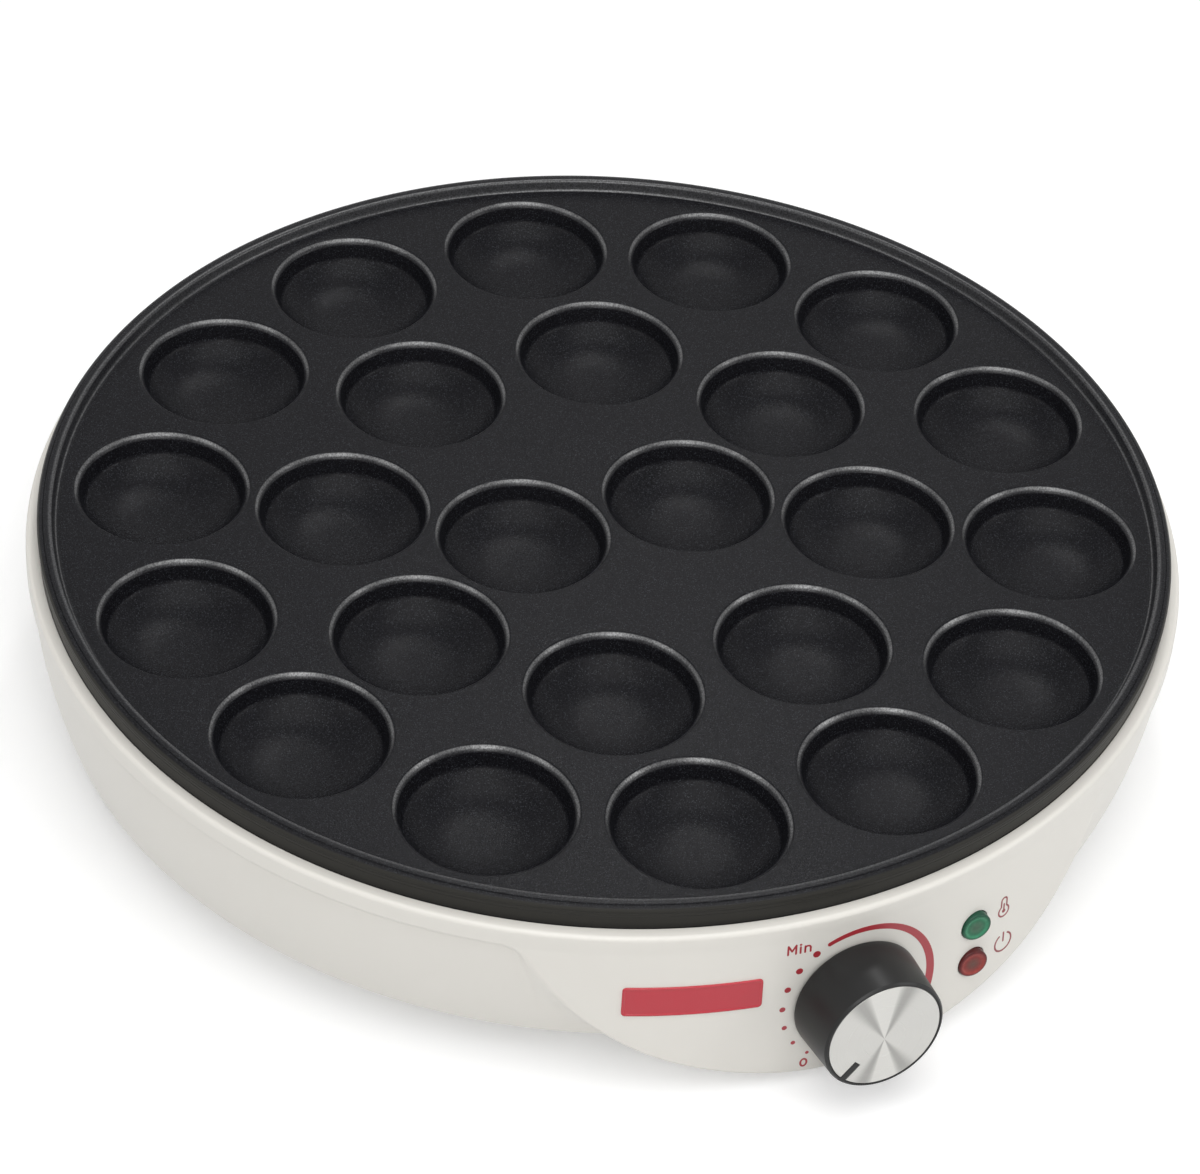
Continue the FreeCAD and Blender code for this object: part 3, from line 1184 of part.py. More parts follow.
def make_mains_inlet():
    """Socket for a loose cord's connector, with three blades, behind a flange on the housing's pad."""
    outer_width = "(inlet_width + 2 * inlet_wall)"
    outer_height = "(inlet_height + 2 * inlet_wall)"
    front = f"({INLET_FACE} + inlet_flange)"
    back = f"({front} - inlet_depth - 1.5)"

    def slab(name, width, height, near, far):
        """Block centred on the inlet's axis between two distances from the plate's axis."""
        return box(name, width, f"({far} - {near})", height,
                   turned(0, f"({near} + {far}) / 2", f"{INLET_Z} - {height} / 2"))

    flange = slab("inlet_flange_plate", "inlet_width + 2 * inlet_lip", "(inlet_height + 2 * inlet_lip - 3)",
                  INLET_FACE, front)
    tub = slab("inlet_tub", outer_width, outer_height, back, front)
    pieces = [flange, tub]
    for side in (-1, 1):
        x = f"{side} * ({outer_width} / 2 + 0.4)"
        pieces.append(box(f"inlet_barb_{side + 1}", "1.6", "2", "6",
                          turned(x, f"{WALL_FOOT_RADIUS} - 3.3", f"{INLET_Z} - 3")))
    socket = slab("inlet_socket", "inlet_width", "inlet_height", f"({front} - inlet_depth)", f"({front} + 1)")
    blades = []
    cuts = [socket]
    for index, (x, lift) in enumerate(((-7, -2), (0, 2), (7, -2))):
        middle = f"{front} - 3 - (inlet_depth + 6) / 2"
        foot = f"{INLET_Z} + {lift} - 2"
        blades.append(box(f"inlet_blade_{index}", "2", "inlet_depth + 6", "4", turned(x, middle, foot)))
        cuts.append(box(f"inlet_slot_{index}", "2 + 2 * thread_gap", "inlet_depth + 9",
                        "4 + 2 * thread_gap", turned(x, middle, f"{foot} - thread_gap")))
    finished(cut("mains_inlet", fuse("inlet_blank", pieces), fuse("inlet_cuts", cuts)), "mains_inlet")
    finished(group("inlet_blades", blades), "inlet_blades")


def make_terminals():
    block_y = f"({FLOOR_RADIUS} - terminal_inset)"
    block = box("terminal_base", "terminal_width", "terminal_depth", "terminal_height",
                turned(0, block_y, COVER_TOP))
    axis_z = f"{COVER_TOP} + 0.42 * terminal_height"
    holes = []
    screws = []
    for index, step in enumerate((-1, 0, 1)):
        x = f"{step} * terminal_pitch"
        hole_place = turned(x, f"{block_y} + terminal_depth / 2 + 6", axis_z, axis=(1, 0, 0), angle=90)
        holes.append(cylinder(f"terminal_hole_{index}", "0.9 * terminal_screw_radius", "terminal_depth + 12",
                              hole_place))
        holes.append(cylinder(f"terminal_well_{index}", "terminal_screw_radius + thread_gap",
                              "terminal_height", turned(x, block_y, axis_z)))
        screws.append(cylinder(f"terminal_screw_{index}", "terminal_screw_radius", "terminal_height / 3",
                               turned(x, block_y, f"{axis_z} + 0.18 * terminal_height")))
    finished(cut("terminal_block", block, fuse("terminal_holes", holes)), "terminal_block")
    finished(group("terminal_screws", screws), "terminal_screws")


MAKERS = [
    make_cooking_plate,
    lambda: make_element("outer_element", OUTER_RING, "outer_element_gap"),
    lambda: make_element("inner_element", "inner_ring", "inner_element_gap"),
    make_element_bushes,
    make_element_saddles,
    make_heat_shield,
    make_earthing,
    make_plate_fixings,
    make_base_housing,
    make_base_cover,
    make_cover_screws,
    make_rubber_feet,
    make_thermostat,
    make_knob,
    make_lamps,
    make_sensors,
    make_capillary,
    make_mains_inlet,
    make_terminals,
]
for maker in MAKERS:
    maker()
doc.recompute()

faults = [item.Name for item in doc.Objects if {"Invalid", "Error"} & set(item.State)]
faults += [item.Label for item in NODES if item.Shape.isNull() or not item.Shape.isValid()]
if faults:
    raise RuntimeError(f"these did not build: {faults}")
os.makedirs("parts", exist_ok=True)
for item in NODES:
    item.Shape.exportStep(f"parts/{item.Label}.step")
    bounds = item.Shape.BoundBox
    print(f"{item.Label}: {len(item.Shape.Solids)} solids, {item.Shape.Volume:.0f} mm3, "
          f"z {bounds.ZMin:.1f} to {bounds.ZMax:.1f}")
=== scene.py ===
# %% [markdown]
# # A mini pancake maker
#
# This lesson dresses an engineering model of a round, electric mini pancake maker for its picture. A cast
# plate with 24 shallow wells lies in a cream plastic housing, whose front swells into an apron that
# carries the dial and two lamps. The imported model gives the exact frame: every shape here is worked out
# in millimetres in that frame, z = 0 is the table, and the front faces -Y.

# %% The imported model
import bpy
import bmesh
import numpy as np
from math import cos, pi, radians, sin, tan
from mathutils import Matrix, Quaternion, Vector
from mathutils.geometry import delaunay_2d_cdt


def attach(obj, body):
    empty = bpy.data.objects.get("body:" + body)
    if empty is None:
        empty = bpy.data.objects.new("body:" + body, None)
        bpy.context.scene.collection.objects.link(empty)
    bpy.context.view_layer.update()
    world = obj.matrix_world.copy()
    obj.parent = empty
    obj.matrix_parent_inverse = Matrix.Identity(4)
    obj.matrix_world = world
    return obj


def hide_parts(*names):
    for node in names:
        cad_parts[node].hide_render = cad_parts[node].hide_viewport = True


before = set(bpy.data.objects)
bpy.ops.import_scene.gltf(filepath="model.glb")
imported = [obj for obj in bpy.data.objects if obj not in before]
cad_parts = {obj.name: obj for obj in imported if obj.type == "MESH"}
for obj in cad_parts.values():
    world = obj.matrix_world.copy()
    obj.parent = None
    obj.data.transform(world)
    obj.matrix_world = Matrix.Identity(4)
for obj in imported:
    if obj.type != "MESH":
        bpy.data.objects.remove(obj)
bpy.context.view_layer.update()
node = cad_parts
MM = 0.001

# %% [markdown]
# ## The camera
#
# The photograph looks down at the front from the left. Its plate rim is an ellipse whose shape gives the
# camera's height, and the slow narrowing of the far wells gives a long lens. The camera is also rolled a
# few degrees, so that the right side sinks. A camera that looks at a point is easiest to set with a
# direction turned into a rotation, and then a turn about its own line of sight.

# %% Camera
scene = bpy.context.scene
scene.view_settings.view_transform = "Standard"


def new_object(name, data):
    """Object in the scene that shows a camera, a lamp or a mesh."""
    item = bpy.data.objects.new(name, data)
    scene.collection.objects.link(item)
    return item


def look(item, place, target, roll=0.0):
    """Puts a camera or a lamp at a place, turns it to a target and then about its own line of sight."""
    item.location = place
    item.rotation_mode = "QUATERNION"
    level = (target - item.location).to_track_quat("-Z", "Y")
    item.rotation_quaternion = level @ Quaternion((0, 0, 1), radians(roll))


camera = new_object("camera", bpy.data.cameras.new("camera"))
aim = Vector((-13.5, -26.2, 57.0)) * MM
look(camera, Vector((-405.5, -802.3, 812.2)) * MM, aim, roll=4.229)
camera.data.sensor_width = 36
camera.data.lens = 132.74
scene.camera = camera
print("camera", round((aim - camera.location).length, 3), "m from its aim")

# %% [markdown]
# ## Colours and nodes
#
# Colours are easy to measure on a screen, but shaders take linear ones, so `paint` turns the one into the
# other. Materials and the sky are networks of nodes. A few helpers keep them short: `add` makes a node and
# fills its inputs with plain values, with sockets or with another node's main output, and each of the
# others makes one kind of node that many materials need.

# %% Colour and node helpers
def paint(red, green, blue):
    """Screen colour, 0 to 255, as the linear colour that a shader socket takes."""
    c = np.array([red, green, blue]) / 255
    linear = np.where(c <= 0.04045, c / 12.92, ((c + 0.055) / 1.055) ** 2.4)
    return (*linear.tolist(), 1.0)


def fill_in(tree, item, values):
    """Puts plain values, sockets or the first live outputs of nodes on a node's inputs."""
    for key, value in values.items():
        if isinstance(value, bpy.types.Node):
            value = next(socket for socket in value.outputs if socket.enabled)
        if isinstance(value, bpy.types.NodeSocket):
            tree.links.new(value, item.inputs[key])
        else:
            item.inputs[key].default_value = value
    return item


def add(tree, kind, values=None, **settings):
    """Node with its settings and its inputs."""
    item = tree.nodes.new("ShaderNode" + kind)
    for key, value in settings.items():
        setattr(item, key, value)
    return fill_in(tree, item, values or {})


def calc(tree, operation, *terms):
    """One step of arithmetic."""
    return add(tree, "Math", dict(enumerate(terms)), operation=operation)


def remap(tree, value, a, b, low=0.0, high=1.0):
    """Runs from low to high while the value runs from a to b, and stays there beyond."""
    span = {"From Min": a, "From Max": b, "To Min": low, "To Max": high}
    return add(tree, "MapRange", {"Value": value, **span})


def noise(tree, place, scale, detail, roughness=0.5):
    """Cloudy noise between 0 and 1."""
    return add(tree, "TexNoise", {"Vector": place, "Scale": scale, "Detail": detail, "Roughness": roughness})


def tinted(tree, color, value):
    """Colour made darker or lighter by a factor."""
    return add(tree, "HueSaturation", {"Color": color, "Value": value})


def reach(tree, place, mask):
    """Distance from the origin, counting the directions where the mask is 1."""
    flat = add(tree, "VectorMath", {0: place, 1: mask}, operation="MULTIPLY")
    return add(tree, "VectorMath", {0: flat}, operation="LENGTH")


def new_material(name):
    """New material, with its node tree, its Principled shader and the object coordinates."""
    material = bpy.data.materials.new(name)
    material.use_nodes = True
    tree = material.node_tree
    return material, tree, tree.nodes["Principled BSDF"], add(tree, "TexCoord").outputs["Object"]


print("mid grey is", round(paint(128, 128, 128)[0], 3))

# %% [markdown]
# ## Sky and lamps
#
# A product photograph of this kind stands on a white sweep under large soft lamps. The sky is a plain
# pale colour that also fills the shadows, and what the camera or a shiny surface sees of it is plain
# white. The main lamp is large and hangs above, a little to the front. A small one behind lets the front of
# the land glitter towards the camera, one shines from the front on the knob, the apron and the far edges of
# the wells, and two at the sides open the shadows.

# %% Stage
def soft_lamp(name, place, size, power):
    """Square lamp that looks at the middle of the object."""
    lamp = new_object(name, bpy.data.lights.new(name, "AREA"))
    lamp.data.size = size
    lamp.data.energy = power
    look(lamp, place, Vector((0, 0, 0.04)))


world = bpy.data.worlds.new("studio")
scene.world = world
world.use_nodes = True
sky = world.node_tree
sky.nodes.clear()
ray = add(sky, "LightPath")
shiny = calc(sky, "MAXIMUM", ray.outputs["Is Glossy Ray"], ray.outputs["Is Transmission Ray"])
direct = calc(sky, "MAXIMUM", shiny, ray.outputs["Is Camera Ray"])
fill = add(sky, "Background", {"Color": paint(250, 250, 250), "Strength": 0.28})
seen = add(sky, "Background", {"Color": (1, 1, 1, 1)})
add(sky, "OutputWorld", {"Surface": add(sky, "MixShader", {0: direct, 1: fill, 2: seen})})
lamps = {  # place in metres, size in metres, power in watts
    "lamp_above": ((-0.1, -0.45, 1.6), 1.4, 15),
    "lamp_behind": ((0.5, 0.85, 1.35), 0.15, 2.6),
    "lamp_front": ((-0.5, -1.25, 1.15), 0.55, 6),
    "lamp_left": ((-1.35, -0.1, 1.1), 0.7, 3.5),
    "lamp_right": ((1.2, -0.9, 0.8), 0.6, 4),
}
for name, setting in lamps.items():
    soft_lamp(name, *setting)
print("sky and", len(lamps), "lamps")

# %% [markdown]
# ## From arrays to a mesh
#
# Each new piece is a surface worked out as whole numpy arrays: a grid whose rows run along a profile and
# whose columns run round the piece. `grid_faces` joins neighbours into four-sided faces, and `make_mesh`
# hands points and faces to Blender in one go, welds points that fall together, such as those at a pole, and
# marks edges that are meant to look sharp.

# %% Mesh helpers
def grid_faces(rows, columns, close_rows=False):
    """Faces between neighbours of a grid of points whose last column, or row, also meets its first."""
    index = np.arange(rows * columns).reshape(rows, columns)
    index = np.hstack([index, index[:, :1]])
    if close_rows:
        index = np.vstack([index, index[:1]])
    return np.stack([index[:-1, :-1], index[:-1, 1:], index[1:, 1:], index[1:, :-1]], -1).reshape(-1, 4)


def make_mesh(name, points, faces, weld=0.002, sharp=50):
    """Mesh in metres from points in millimetres. Points closer than the weld distance become one."""
    mesh = bpy.data.meshes.new(name)
    mesh.from_pydata(np.asarray(points, np.float32).reshape(-1, 3) * MM, [], faces)
    work = bmesh.new()
    work.from_mesh(mesh)
    bmesh.ops.remove_doubles(work, verts=work.verts, dist=weld * MM)
    bmesh.ops.dissolve_degenerate(work, edges=work.edges, dist=weld * MM)
    work.to_mesh(mesh)
    work.free()
    mesh.polygons.foreach_set("use_smooth", np.ones(len(mesh.polygons), bool))
    mesh.set_sharp_from_angle(angle=radians(sharp))
    return mesh


def grid_mesh(name, points, close_rows=False, **options):
    """Mesh of one grid of points."""
    return make_mesh(name, points, grid_faces(*points.shape[:2], close_rows), **options)


def joined(parts):
    """The points and the faces of several (points, faces) pairs as one pair."""
    starts = np.cumsum([0] + [points.size // 3 for points, _ in parts])
    points = np.concatenate([points.reshape(-1, 3) for points, _ in parts])
    return points, np.concatenate([faces + start for (_, faces), start in zip(parts, starts)])


print("a grid of 3 rows and 4 columns has", len(grid_faces(3, 4)), "faces")

# %% [markdown]
# Every piece is checked as it is made: on a closed piece each edge has two faces, and a volume under zero
# would mean faces that point inwards.

# %% Pieces
def checked(mesh):
    """Number of open edges, 0 on a closed piece, and volume in cm3, over 0 if the faces point out."""
    work = bmesh.new()
    work.from_mesh(mesh)
    loose = sum(not edge.is_manifold for edge in work.edges)
    content = round(work.calc_volume(signed=True) * 1e6, 2)
    work.free()
    return f"open edges {loose}, {content} cm3"


def make_piece(name, mesh, body, slot, material, *nodes):
    """Object that rides on a body, takes a finish and stands for CAD nodes."""
    piece = new_object(name, mesh)
    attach(piece, body)
    if nodes:
        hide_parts(*nodes)
    mesh.materials.clear()
    mesh.materials.append(material)
    mesh.calc_loop_triangles()
    print(name, "triangles", len(mesh.loop_triangles), checked(mesh))


print("ready to make pieces")

# %% [markdown]
# Moulded and turned parts have rounded corners, which catch the light. So a profile is written as its sharp
# corners with a radius for each, and `rounded` works out the arcs. `carried_round` turns a profile about an
# upright axis, as a lathe would.

# %% Profiles
def rounded(corners, radii, steps=6):
    """Profile of straight lines whose corners become arcs.

    Each corner with a radius becomes points on the circle that touches both of its sides, spread evenly in
    angle between the two touching points.
    """
    corners = np.asarray(corners, float)
    made = [corners[:1]]
    for before, corner, after, radius in zip(corners, corners[1:], corners[2:], radii[1:]):
        if radius <= 0:
            made.append(corner[None])
            continue
        a, b = before - corner, after - corner
        a, b = a / np.linalg.norm(a), b / np.linalg.norm(b)
        half = np.arccos(np.clip(a @ b, -1, 1)) / 2
        middle = corner + (a + b) / np.linalg.norm(a + b) * radius / sin(half)
        first, last = corner + a * radius / tan(half) - middle, corner + b * radius / tan(half) - middle
        sweep = np.arccos(np.clip(first @ last / radius**2, -1, 1))
        t = np.linspace(0, 1, steps + 1)[:, None]
        made.append(middle + (np.sin((1 - t) * sweep) * first + np.sin(t * sweep) * last) / np.sin(sweep))
    made.append(corners[-1:])
    return np.concatenate(made)


def carried_round(profile, columns):
    """A profile of (radius, height) carried round the upright axis: x = r cos a, y = r sin a, z = h."""
    angle = np.arange(columns) * 2 * pi / columns
    r, h = profile[:, :1], profile[:, 1:]
    return np.stack([r * np.cos(angle), r * np.sin(angle), h + 0 * angle], -1)


print("a rounded corner has", len(rounded([(0, 0), (1, 0), (1, 1)], [0, 0.5, 0])) - 2, "points")

# %% [markdown]
# Plates, blocks and ribs with rounded corners share one recipe: a profile of (inset, lift) carried round a
# rounded rectangle. Each ring of the profile is the same rectangle, moved in by the profile's inset, and the
# first and last ring shrink to a point, which closes the piece.

# %% Rounded slabs
def rectangle_ring(width, height, corner, inset, per_corner=8, per_side=16):
    """Points of a rounded rectangle moved in by an inset, so that its corners' radius shrinks with it.

    Each quarter is an arc and then a straight run to the next arc, so that the ring can be wrapped.
    """
    edge = max(inset, corner)
    w, h, c = width / 2 - edge, height / 2 - edge, max(corner - inset, 0.02)
    turns = np.linspace(0, pi / 2, per_corner)[None] + np.arange(4)[:, None] * pi / 2
    signs = np.array([(1, 1), (-1, 1), (-1, -1), (1, -1)]) * (w, h)
    arcs = signs[:, None] + c * np.stack([np.cos(turns), np.sin(turns)], -1)
    t = np.linspace(0, 1, per_side + 2)[1:-1, None]
    runs = arcs[:, -1:] * (1 - t) + np.roll(arcs, -1, 0)[:, :1] * t
    return np.concatenate([arcs, runs], 1).reshape(-1, 2)


def slab_rings(width, height, corner, profile):
    """Rings of (x, y, lift) for a profile of (inset, lift), between two that are shrunk to their middle."""
    rings = [np.insert(rectangle_ring(width, height, corner, inset), 2, lift, axis=1)
             for inset, lift in profile]
    return np.stack([rings[0] * (0, 0, 1), *rings, rings[-1] * (0, 0, 1)])


print("a slab ring has", len(rectangle_ring(10, 5, 1, 0)), "points")

# %% [markdown]
# ## Finishes that several pieces share
#
# Real surfaces are never one flat colour. Three small node groups hold effects that many finishes use, and
# each material places them with its own values:
#
# - `mould_grain`: the fine matt skin that an etched mould leaves on plastic, and a slow drift of tone.
# - `speckle`: the metallic flakes and orange-peel skin of a sprayed non-stick coating, with masks for the
#   plate's turned side, which is smooth, and for its worn edges, which shine.
# - `turning_lines`: the fine circular or straight lines that a tool leaves on metal.
#
# They give out only colours, masks and heights. Values that are the same all over sit on the shader.

# %% Node groups
SKIN = {"Color": "Color", "Roughness": "Float", "Height": "Float"}


def new_group(name, inputs, outputs):
    """Shader node group with named sockets: the group, its inner inputs and its inner output node."""
    group = bpy.data.node_groups.new(name, "ShaderNodeTree")
    for way, sockets in (("INPUT", inputs), ("OUTPUT", outputs)):
        for label, kind in sockets.items():
            group.interface.new_socket(label, in_out=way, socket_type="NodeSocket" + kind)
    return group, group.nodes.new("NodeGroupInput").outputs, group.nodes.new("NodeGroupOutput")


grain, given, out = new_group("mould_grain", {
    "Vector": "Vector", "Color": "Color", "Grain per metre": "Float", "Gloss": "Float",
    "Drift": "Float"}, SKIN)
fine = noise(grain, given["Vector"], given["Grain per metre"], 2.0, 0.6)
slow = remap(grain, noise(grain, given["Vector"], 22.0, 3.0), 0.3, 0.7, -1.0, 1.0)
bright = calc(grain, "MULTIPLY_ADD", slow, given["Drift"], 1.0)
matt = calc(grain, "MULTIPLY_ADD", fine, 0.06, given["Gloss"])
fill_in(grain, out, {"Color": tinted(grain, given["Color"], bright), "Height": fine,
                     "Roughness": calc(grain, "MULTIPLY_ADD", slow, 0.015, matt)})

lines, given, out = new_group("turning_lines", {
    "Across": "Float", "Lines per metre": "Float", "Color": "Color", "Gloss": "Float"}, SKIN)
cuts = noise(lines, add(lines, "CombineXYZ", {"X": given["Across"]}), given["Lines per metre"], 3.0, 0.7)
fill_in(lines, out, {"Color": tinted(lines, given["Color"], remap(lines, cuts, 0.25, 0.75, 0.9, 1.06)),
                     "Roughness": calc(lines, "MULTIPLY_ADD", cuts, 0.14, given["Gloss"]), "Height": cuts})
print("groups", grain.name, lines.name)

# %% [markdown]
# The sprayed coating is dark with pale flakes. Voronoi cells stand for the flakes: a cell's random colour
# picks the few that show and how brightly. Noise makes the wavy skin, called orange peel, that breaks up
# reflections. Both stop at the turned side.

# %% The coating's group
speckle, given, out = new_group("speckle", {
    "Vector": "Vector", "Coat": "Color", "Flake": "Color", "Side": "Color", "Flakes per metre": "Float",
    "Share": "Float", "Gloss": "Float", "Side share": "Float", "Edge": "Float"}, {**SKIN, "Sheen": "Float"})
cells = add(speckle, "TexVoronoi", {"Vector": given["Vector"], "Scale": given["Flakes per metre"]})
pick = add(speckle, "SeparateColor", {"Color": cells.outputs["Color"]})
rare = calc(speckle, "LESS_THAN", pick.outputs[0], given["Share"])
flake = calc(speckle, "MULTIPLY", rare, remap(speckle, cells.outputs["Distance"], 0.25, 0.6, 1.0, 0.0))
shown = calc(speckle, "MULTIPLY", flake, remap(speckle, pick.outputs[1], 0.0, 1.0, 0.2, 1.0))
peel = noise(speckle, given["Vector"], 2300.0, 2.0, 0.7)
coat = tinted(speckle, given["Coat"], remap(speckle, peel, 0.3, 0.7, 0.45, 1.6))
top = add(speckle, "Mix", {0: shown, 6: coat, 7: given["Flake"]}, data_type="RGBA")
color = add(speckle, "Mix", {0: given["Side share"], 6: top, 7: given["Side"]}, data_type="RGBA")
rough = given["Gloss"]
for change, factor in ((shown, -0.12), (peel, 0.10), (given["Side share"], 0.18)):
    rough = calc(speckle, "MULTIPLY_ADD", change, factor, rough)
top_share = calc(speckle, "SUBTRACT", 1.0, given["Side share"])
shine = calc(speckle, "MULTIPLY", remap(speckle, peel, 0.35, 0.65, 0.5, 1.6), given["Edge"])
fill_in(speckle, out, {"Color": color, "Roughness": rough,
                       "Height": calc(speckle, "MULTIPLY", peel, top_share),
                       "Sheen": calc(speckle, "MULTIPLY", shine, top_share)})
print("group", speckle.name, len(speckle.nodes), "nodes")

# %% [markdown]
# ## The finishes
#
# Every material starts from the same few nodes: object coordinates, one shared group, a Bump node fed by the
# group's height, and the Principled shader. What differs is colour, gloss, scale and depth.

# %% Materials
def finish(name, group, values, height, depth, **shader):
    """Material from one shared group. Height is how strongly its bumps show, depth how deep they are."""
    material, tree, principled, place = new_material(name)
    item = add(tree, "Group", {"Vector": place, **values}, node_tree=group)
    bump = add(tree, "Bump", {"Strength": height, "Distance": depth * MM, "Height": item.outputs["Height"]})
    plain = {key.replace("_", " "): value for key, value in shader.items()}
    fill_in(tree, principled, {"Base Color": item.outputs["Color"], "Roughness": item.outputs["Roughness"],
                               "Normal": bump, **plain})
    return material


def plastic(name, color, gloss=0.35, grain_scale=3000.0, drift=0.04, height=0.12, **shader):
    """Moulded plastic or rubber."""
    return finish(name, grain, {"Color": color, "Grain per metre": grain_scale, "Gloss": gloss,
                                "Drift": drift}, height, 0.05, **shader)


def metal(name, color, gloss, scale=900.0):
    """Sheet or drawn metal with a fine even skin."""
    return finish(name, grain, {"Color": color, "Grain per metre": scale, "Gloss": gloss, "Drift": 0.05},
                  0.2, 0.02, Metallic=1.0)


cream = plastic("cream_shell_plastic", paint(228, 225, 218), gloss=0.33, drift=0.002, height=0.006)
cover_cream = plastic("cover_plastic", paint(214, 211, 203), gloss=0.42, drift=0.02, height=0.25)
knob_black = plastic("knob_plastic", paint(28, 28, 28), gloss=0.34, height=0.12, Specular_IOR_Level=0.28)
black_plastic = plastic("black_plastic", paint(36, 36, 37), gloss=0.42, height=0.2)
rubber = plastic("foot_rubber", paint(40, 40, 41), gloss=0.6, grain_scale=1600.0, height=0.3)
phenolic = plastic("brown_moulding", paint(58, 40, 32), gloss=0.4)
ceramic = plastic("white_ceramic", paint(232, 228, 218), gloss=0.5, height=0.2)
ink = plastic("red_ink", paint(166, 44, 54), gloss=0.3, drift=0.05)
symbol_ink = plastic("symbol_ink", paint(140, 50, 54), gloss=0.3, drift=0.05)
badge_red = plastic("badge_lacquer", paint(188, 44, 58), gloss=0.2, drift=0.03)
steel = metal("bright_steel", paint(196, 196, 194), 0.28)
galvanised = metal("galvanised_sheet", paint(178, 181, 183), 0.42, scale=160.0)
sheath = metal("element_sheath", paint(104, 98, 92), 0.45)
brass = metal("brass", paint(206, 172, 104), 0.3)
print("shared finishes", len(bpy.data.materials))

# %% [markdown]
# The plate's coating needs two masks, and both come from where a point lies. Outside the rim's top the side
# was turned on a lathe, so a distance from the plate's axis tells it from the sprayed top. The edges of the
# wells and of the rim are where a coating gets rubbed and shines, and a colour ramp over the height picks
# them out: the wells' mouths roll over between 56 and 57 mm, and the rim stands from 57 to 60 mm.

# %% Coating
def color_ramp(tree, value, stops):
    """Colours over a value, from (place, colour) pairs in rising order."""
    item = add(tree, "ValToRGB", {"Fac": value})
    elements = item.color_ramp.elements
    elements.remove(elements[1])
    for index, (place, color) in enumerate(stops):
        stop = elements.new(place) if index else elements[0]
        stop.position, stop.color = place, color
    return item


coating = finish("speckled_coating", speckle, {
    "Coat": paint(21, 21, 24), "Flake": paint(62, 64, 69), "Flakes per metre": 3600, "Share": 0.25,
    "Gloss": 0.13}, 1.0, 0.08, Specular_IOR_Level=0.07, Coat_Roughness=0.28, Coat_IOR=1.75)
tree = coating.node_tree
coated = tree.nodes["Group"]
place = tree.nodes["Texture Coordinate"].outputs["Object"]
from_axis = reach(tree, place, (1, 1, 0))
height = add(tree, "SeparateXYZ", {"Vector": place}).outputs["Z"]
side_lines = add(tree, "Group", {"Across": height, "Lines per metre": 1700.0, "Color": paint(50, 49, 46)},
                 node_tree=lines)
LOW, HIGH = 55, 60
rubbed = color_ramp(tree, remap(tree, height, LOW * MM, HIGH * MM), [
    ((z - LOW) / (HIGH - LOW), (share, share, share, 1)) for z, share in (
        (55.3, 0), (56.0, 0.2), (56.35, 1), (56.7, 1), (56.9, 0), (57.05, 0), (57.2, 0.7), (57.7, 0.4),
        (58.2, 0.25), (59.2, 0.25), (59.6, 0.5))])
inside = remap(tree, from_axis, 146.7 * MM, 147.2 * MM, 1.0, 0.12)
fill_in(tree, coated, {"Side": side_lines, "Side share": remap(tree, from_axis, 149.2 * MM, 149.6 * MM),
                       "Edge": calc(tree, "MULTIPLY", rubbed, inside)})
fill_in(tree, tree.nodes["Principled BSDF"], {"Coat Weight": coated.outputs["Sheen"]})
print("coating nodes", len(tree.nodes))

# %% [markdown]
# The lamps' lenses are clear tinted plastic. Light enters them from all sides, so a real lens shows a dark
# edge, a bright ring and a dull middle where the lamp sits. Rings of colour about the lamp's axis paint that
# light and shade on, a painted dark edge and a painted bright ring, at any angle and without a lamp inside.

# %% Lenses
LAMP_SIDE = 35.0  # to the right of the dial's axis
LAMPS = {"green": 32.25, "red": 20.15}  # heights
LENS_RADIUS = 4.0


def lens(name, height, stops):
    """Tinted plastic whose colour depends on the distance from the lamp's axis, in shares of its radius."""
    material, tree, principled, place = new_material(name)
    centred = add(tree, "Mapping", {"Vector": place, "Location": (-LAMP_SIDE * MM, 0, -height * MM)})
    share = calc(tree, "MULTIPLY", reach(tree, centred, (1, 0, 1)), 1 / (LENS_RADIUS * MM))
    # painted light and shade: the colour rings paint a dark edge, a bright ring and a dull middle
    rings = color_ramp(tree, share, [(at, paint(*color)) for at, color in stops])
    cloud = noise(tree, centred, 900.0, 2.0)
    color = tinted(tree, rings, remap(tree, cloud, 0.3, 0.7, 0.88, 1.1))
    fill_in(tree, principled, {"Base Color": color, "Roughness": remap(tree, cloud, 0.0, 1.0, 0.08, 0.2),
                               "Specular IOR Level": 0.2})
    return material


# stops from the lens's middle to its edge; their colours are the tint with painted light and shade
LENS_PAINTED_RING_STOPS = (0, 0.36, 0.55, 0.74, 0.84, 0.93, 1)
lenses = {
    "green": [(70, 96, 78), (66, 108, 84), (48, 112, 82), (66, 140, 106), (44, 110, 80), (32, 80, 60),
              (34, 78, 60)],
    "red": [(100, 72, 64), (116, 62, 56), (136, 54, 50), (156, 68, 62), (124, 44, 44), (92, 34, 34),
            (86, 34, 34)],
}
for name, colors in lenses.items():
    lenses[name] = lens(f"{name}_lens_plastic", LAMPS[name], zip(LENS_PAINTED_RING_STOPS, colors))
print("materials", len(bpy.data.materials))

# %% [markdown]
# The knob's disc is aluminium that was faced on a lathe. Its lines are circles about the knob's axis, so the
# lines group reads the distance from that axis, and the shader stretches its highlights across the lines.
# The disc's colour also carries painted light: two pale fans of reflected light with darker ones beside
# them, painted at fixed places round the disc. With C as the cosine of twice the angle from the fans' line,
# the painted fan's tone is (4 C^3 - 3 C) times C to the power 1.5 where C is over 0: that is the cosine of
# six times the angle, faded out away from the line.

# %% Spun aluminium
DIAL_HEIGHT = 25.1
LEAN = radians(4.2)
BAND, BAND_RADIUS = 47.2, 153.0  # height of the rim band's foot, and its radius


def face_radius(z):
    """Radius of the apron's face: the rim band's, and more below it by the apron's lean."""
    return BAND_RADIUS + np.maximum(BAND - z, 0) * tan(LEAN)


dial_point = np.array([0, -face_radius(DIAL_HEIGHT), DIAL_HEIGHT])
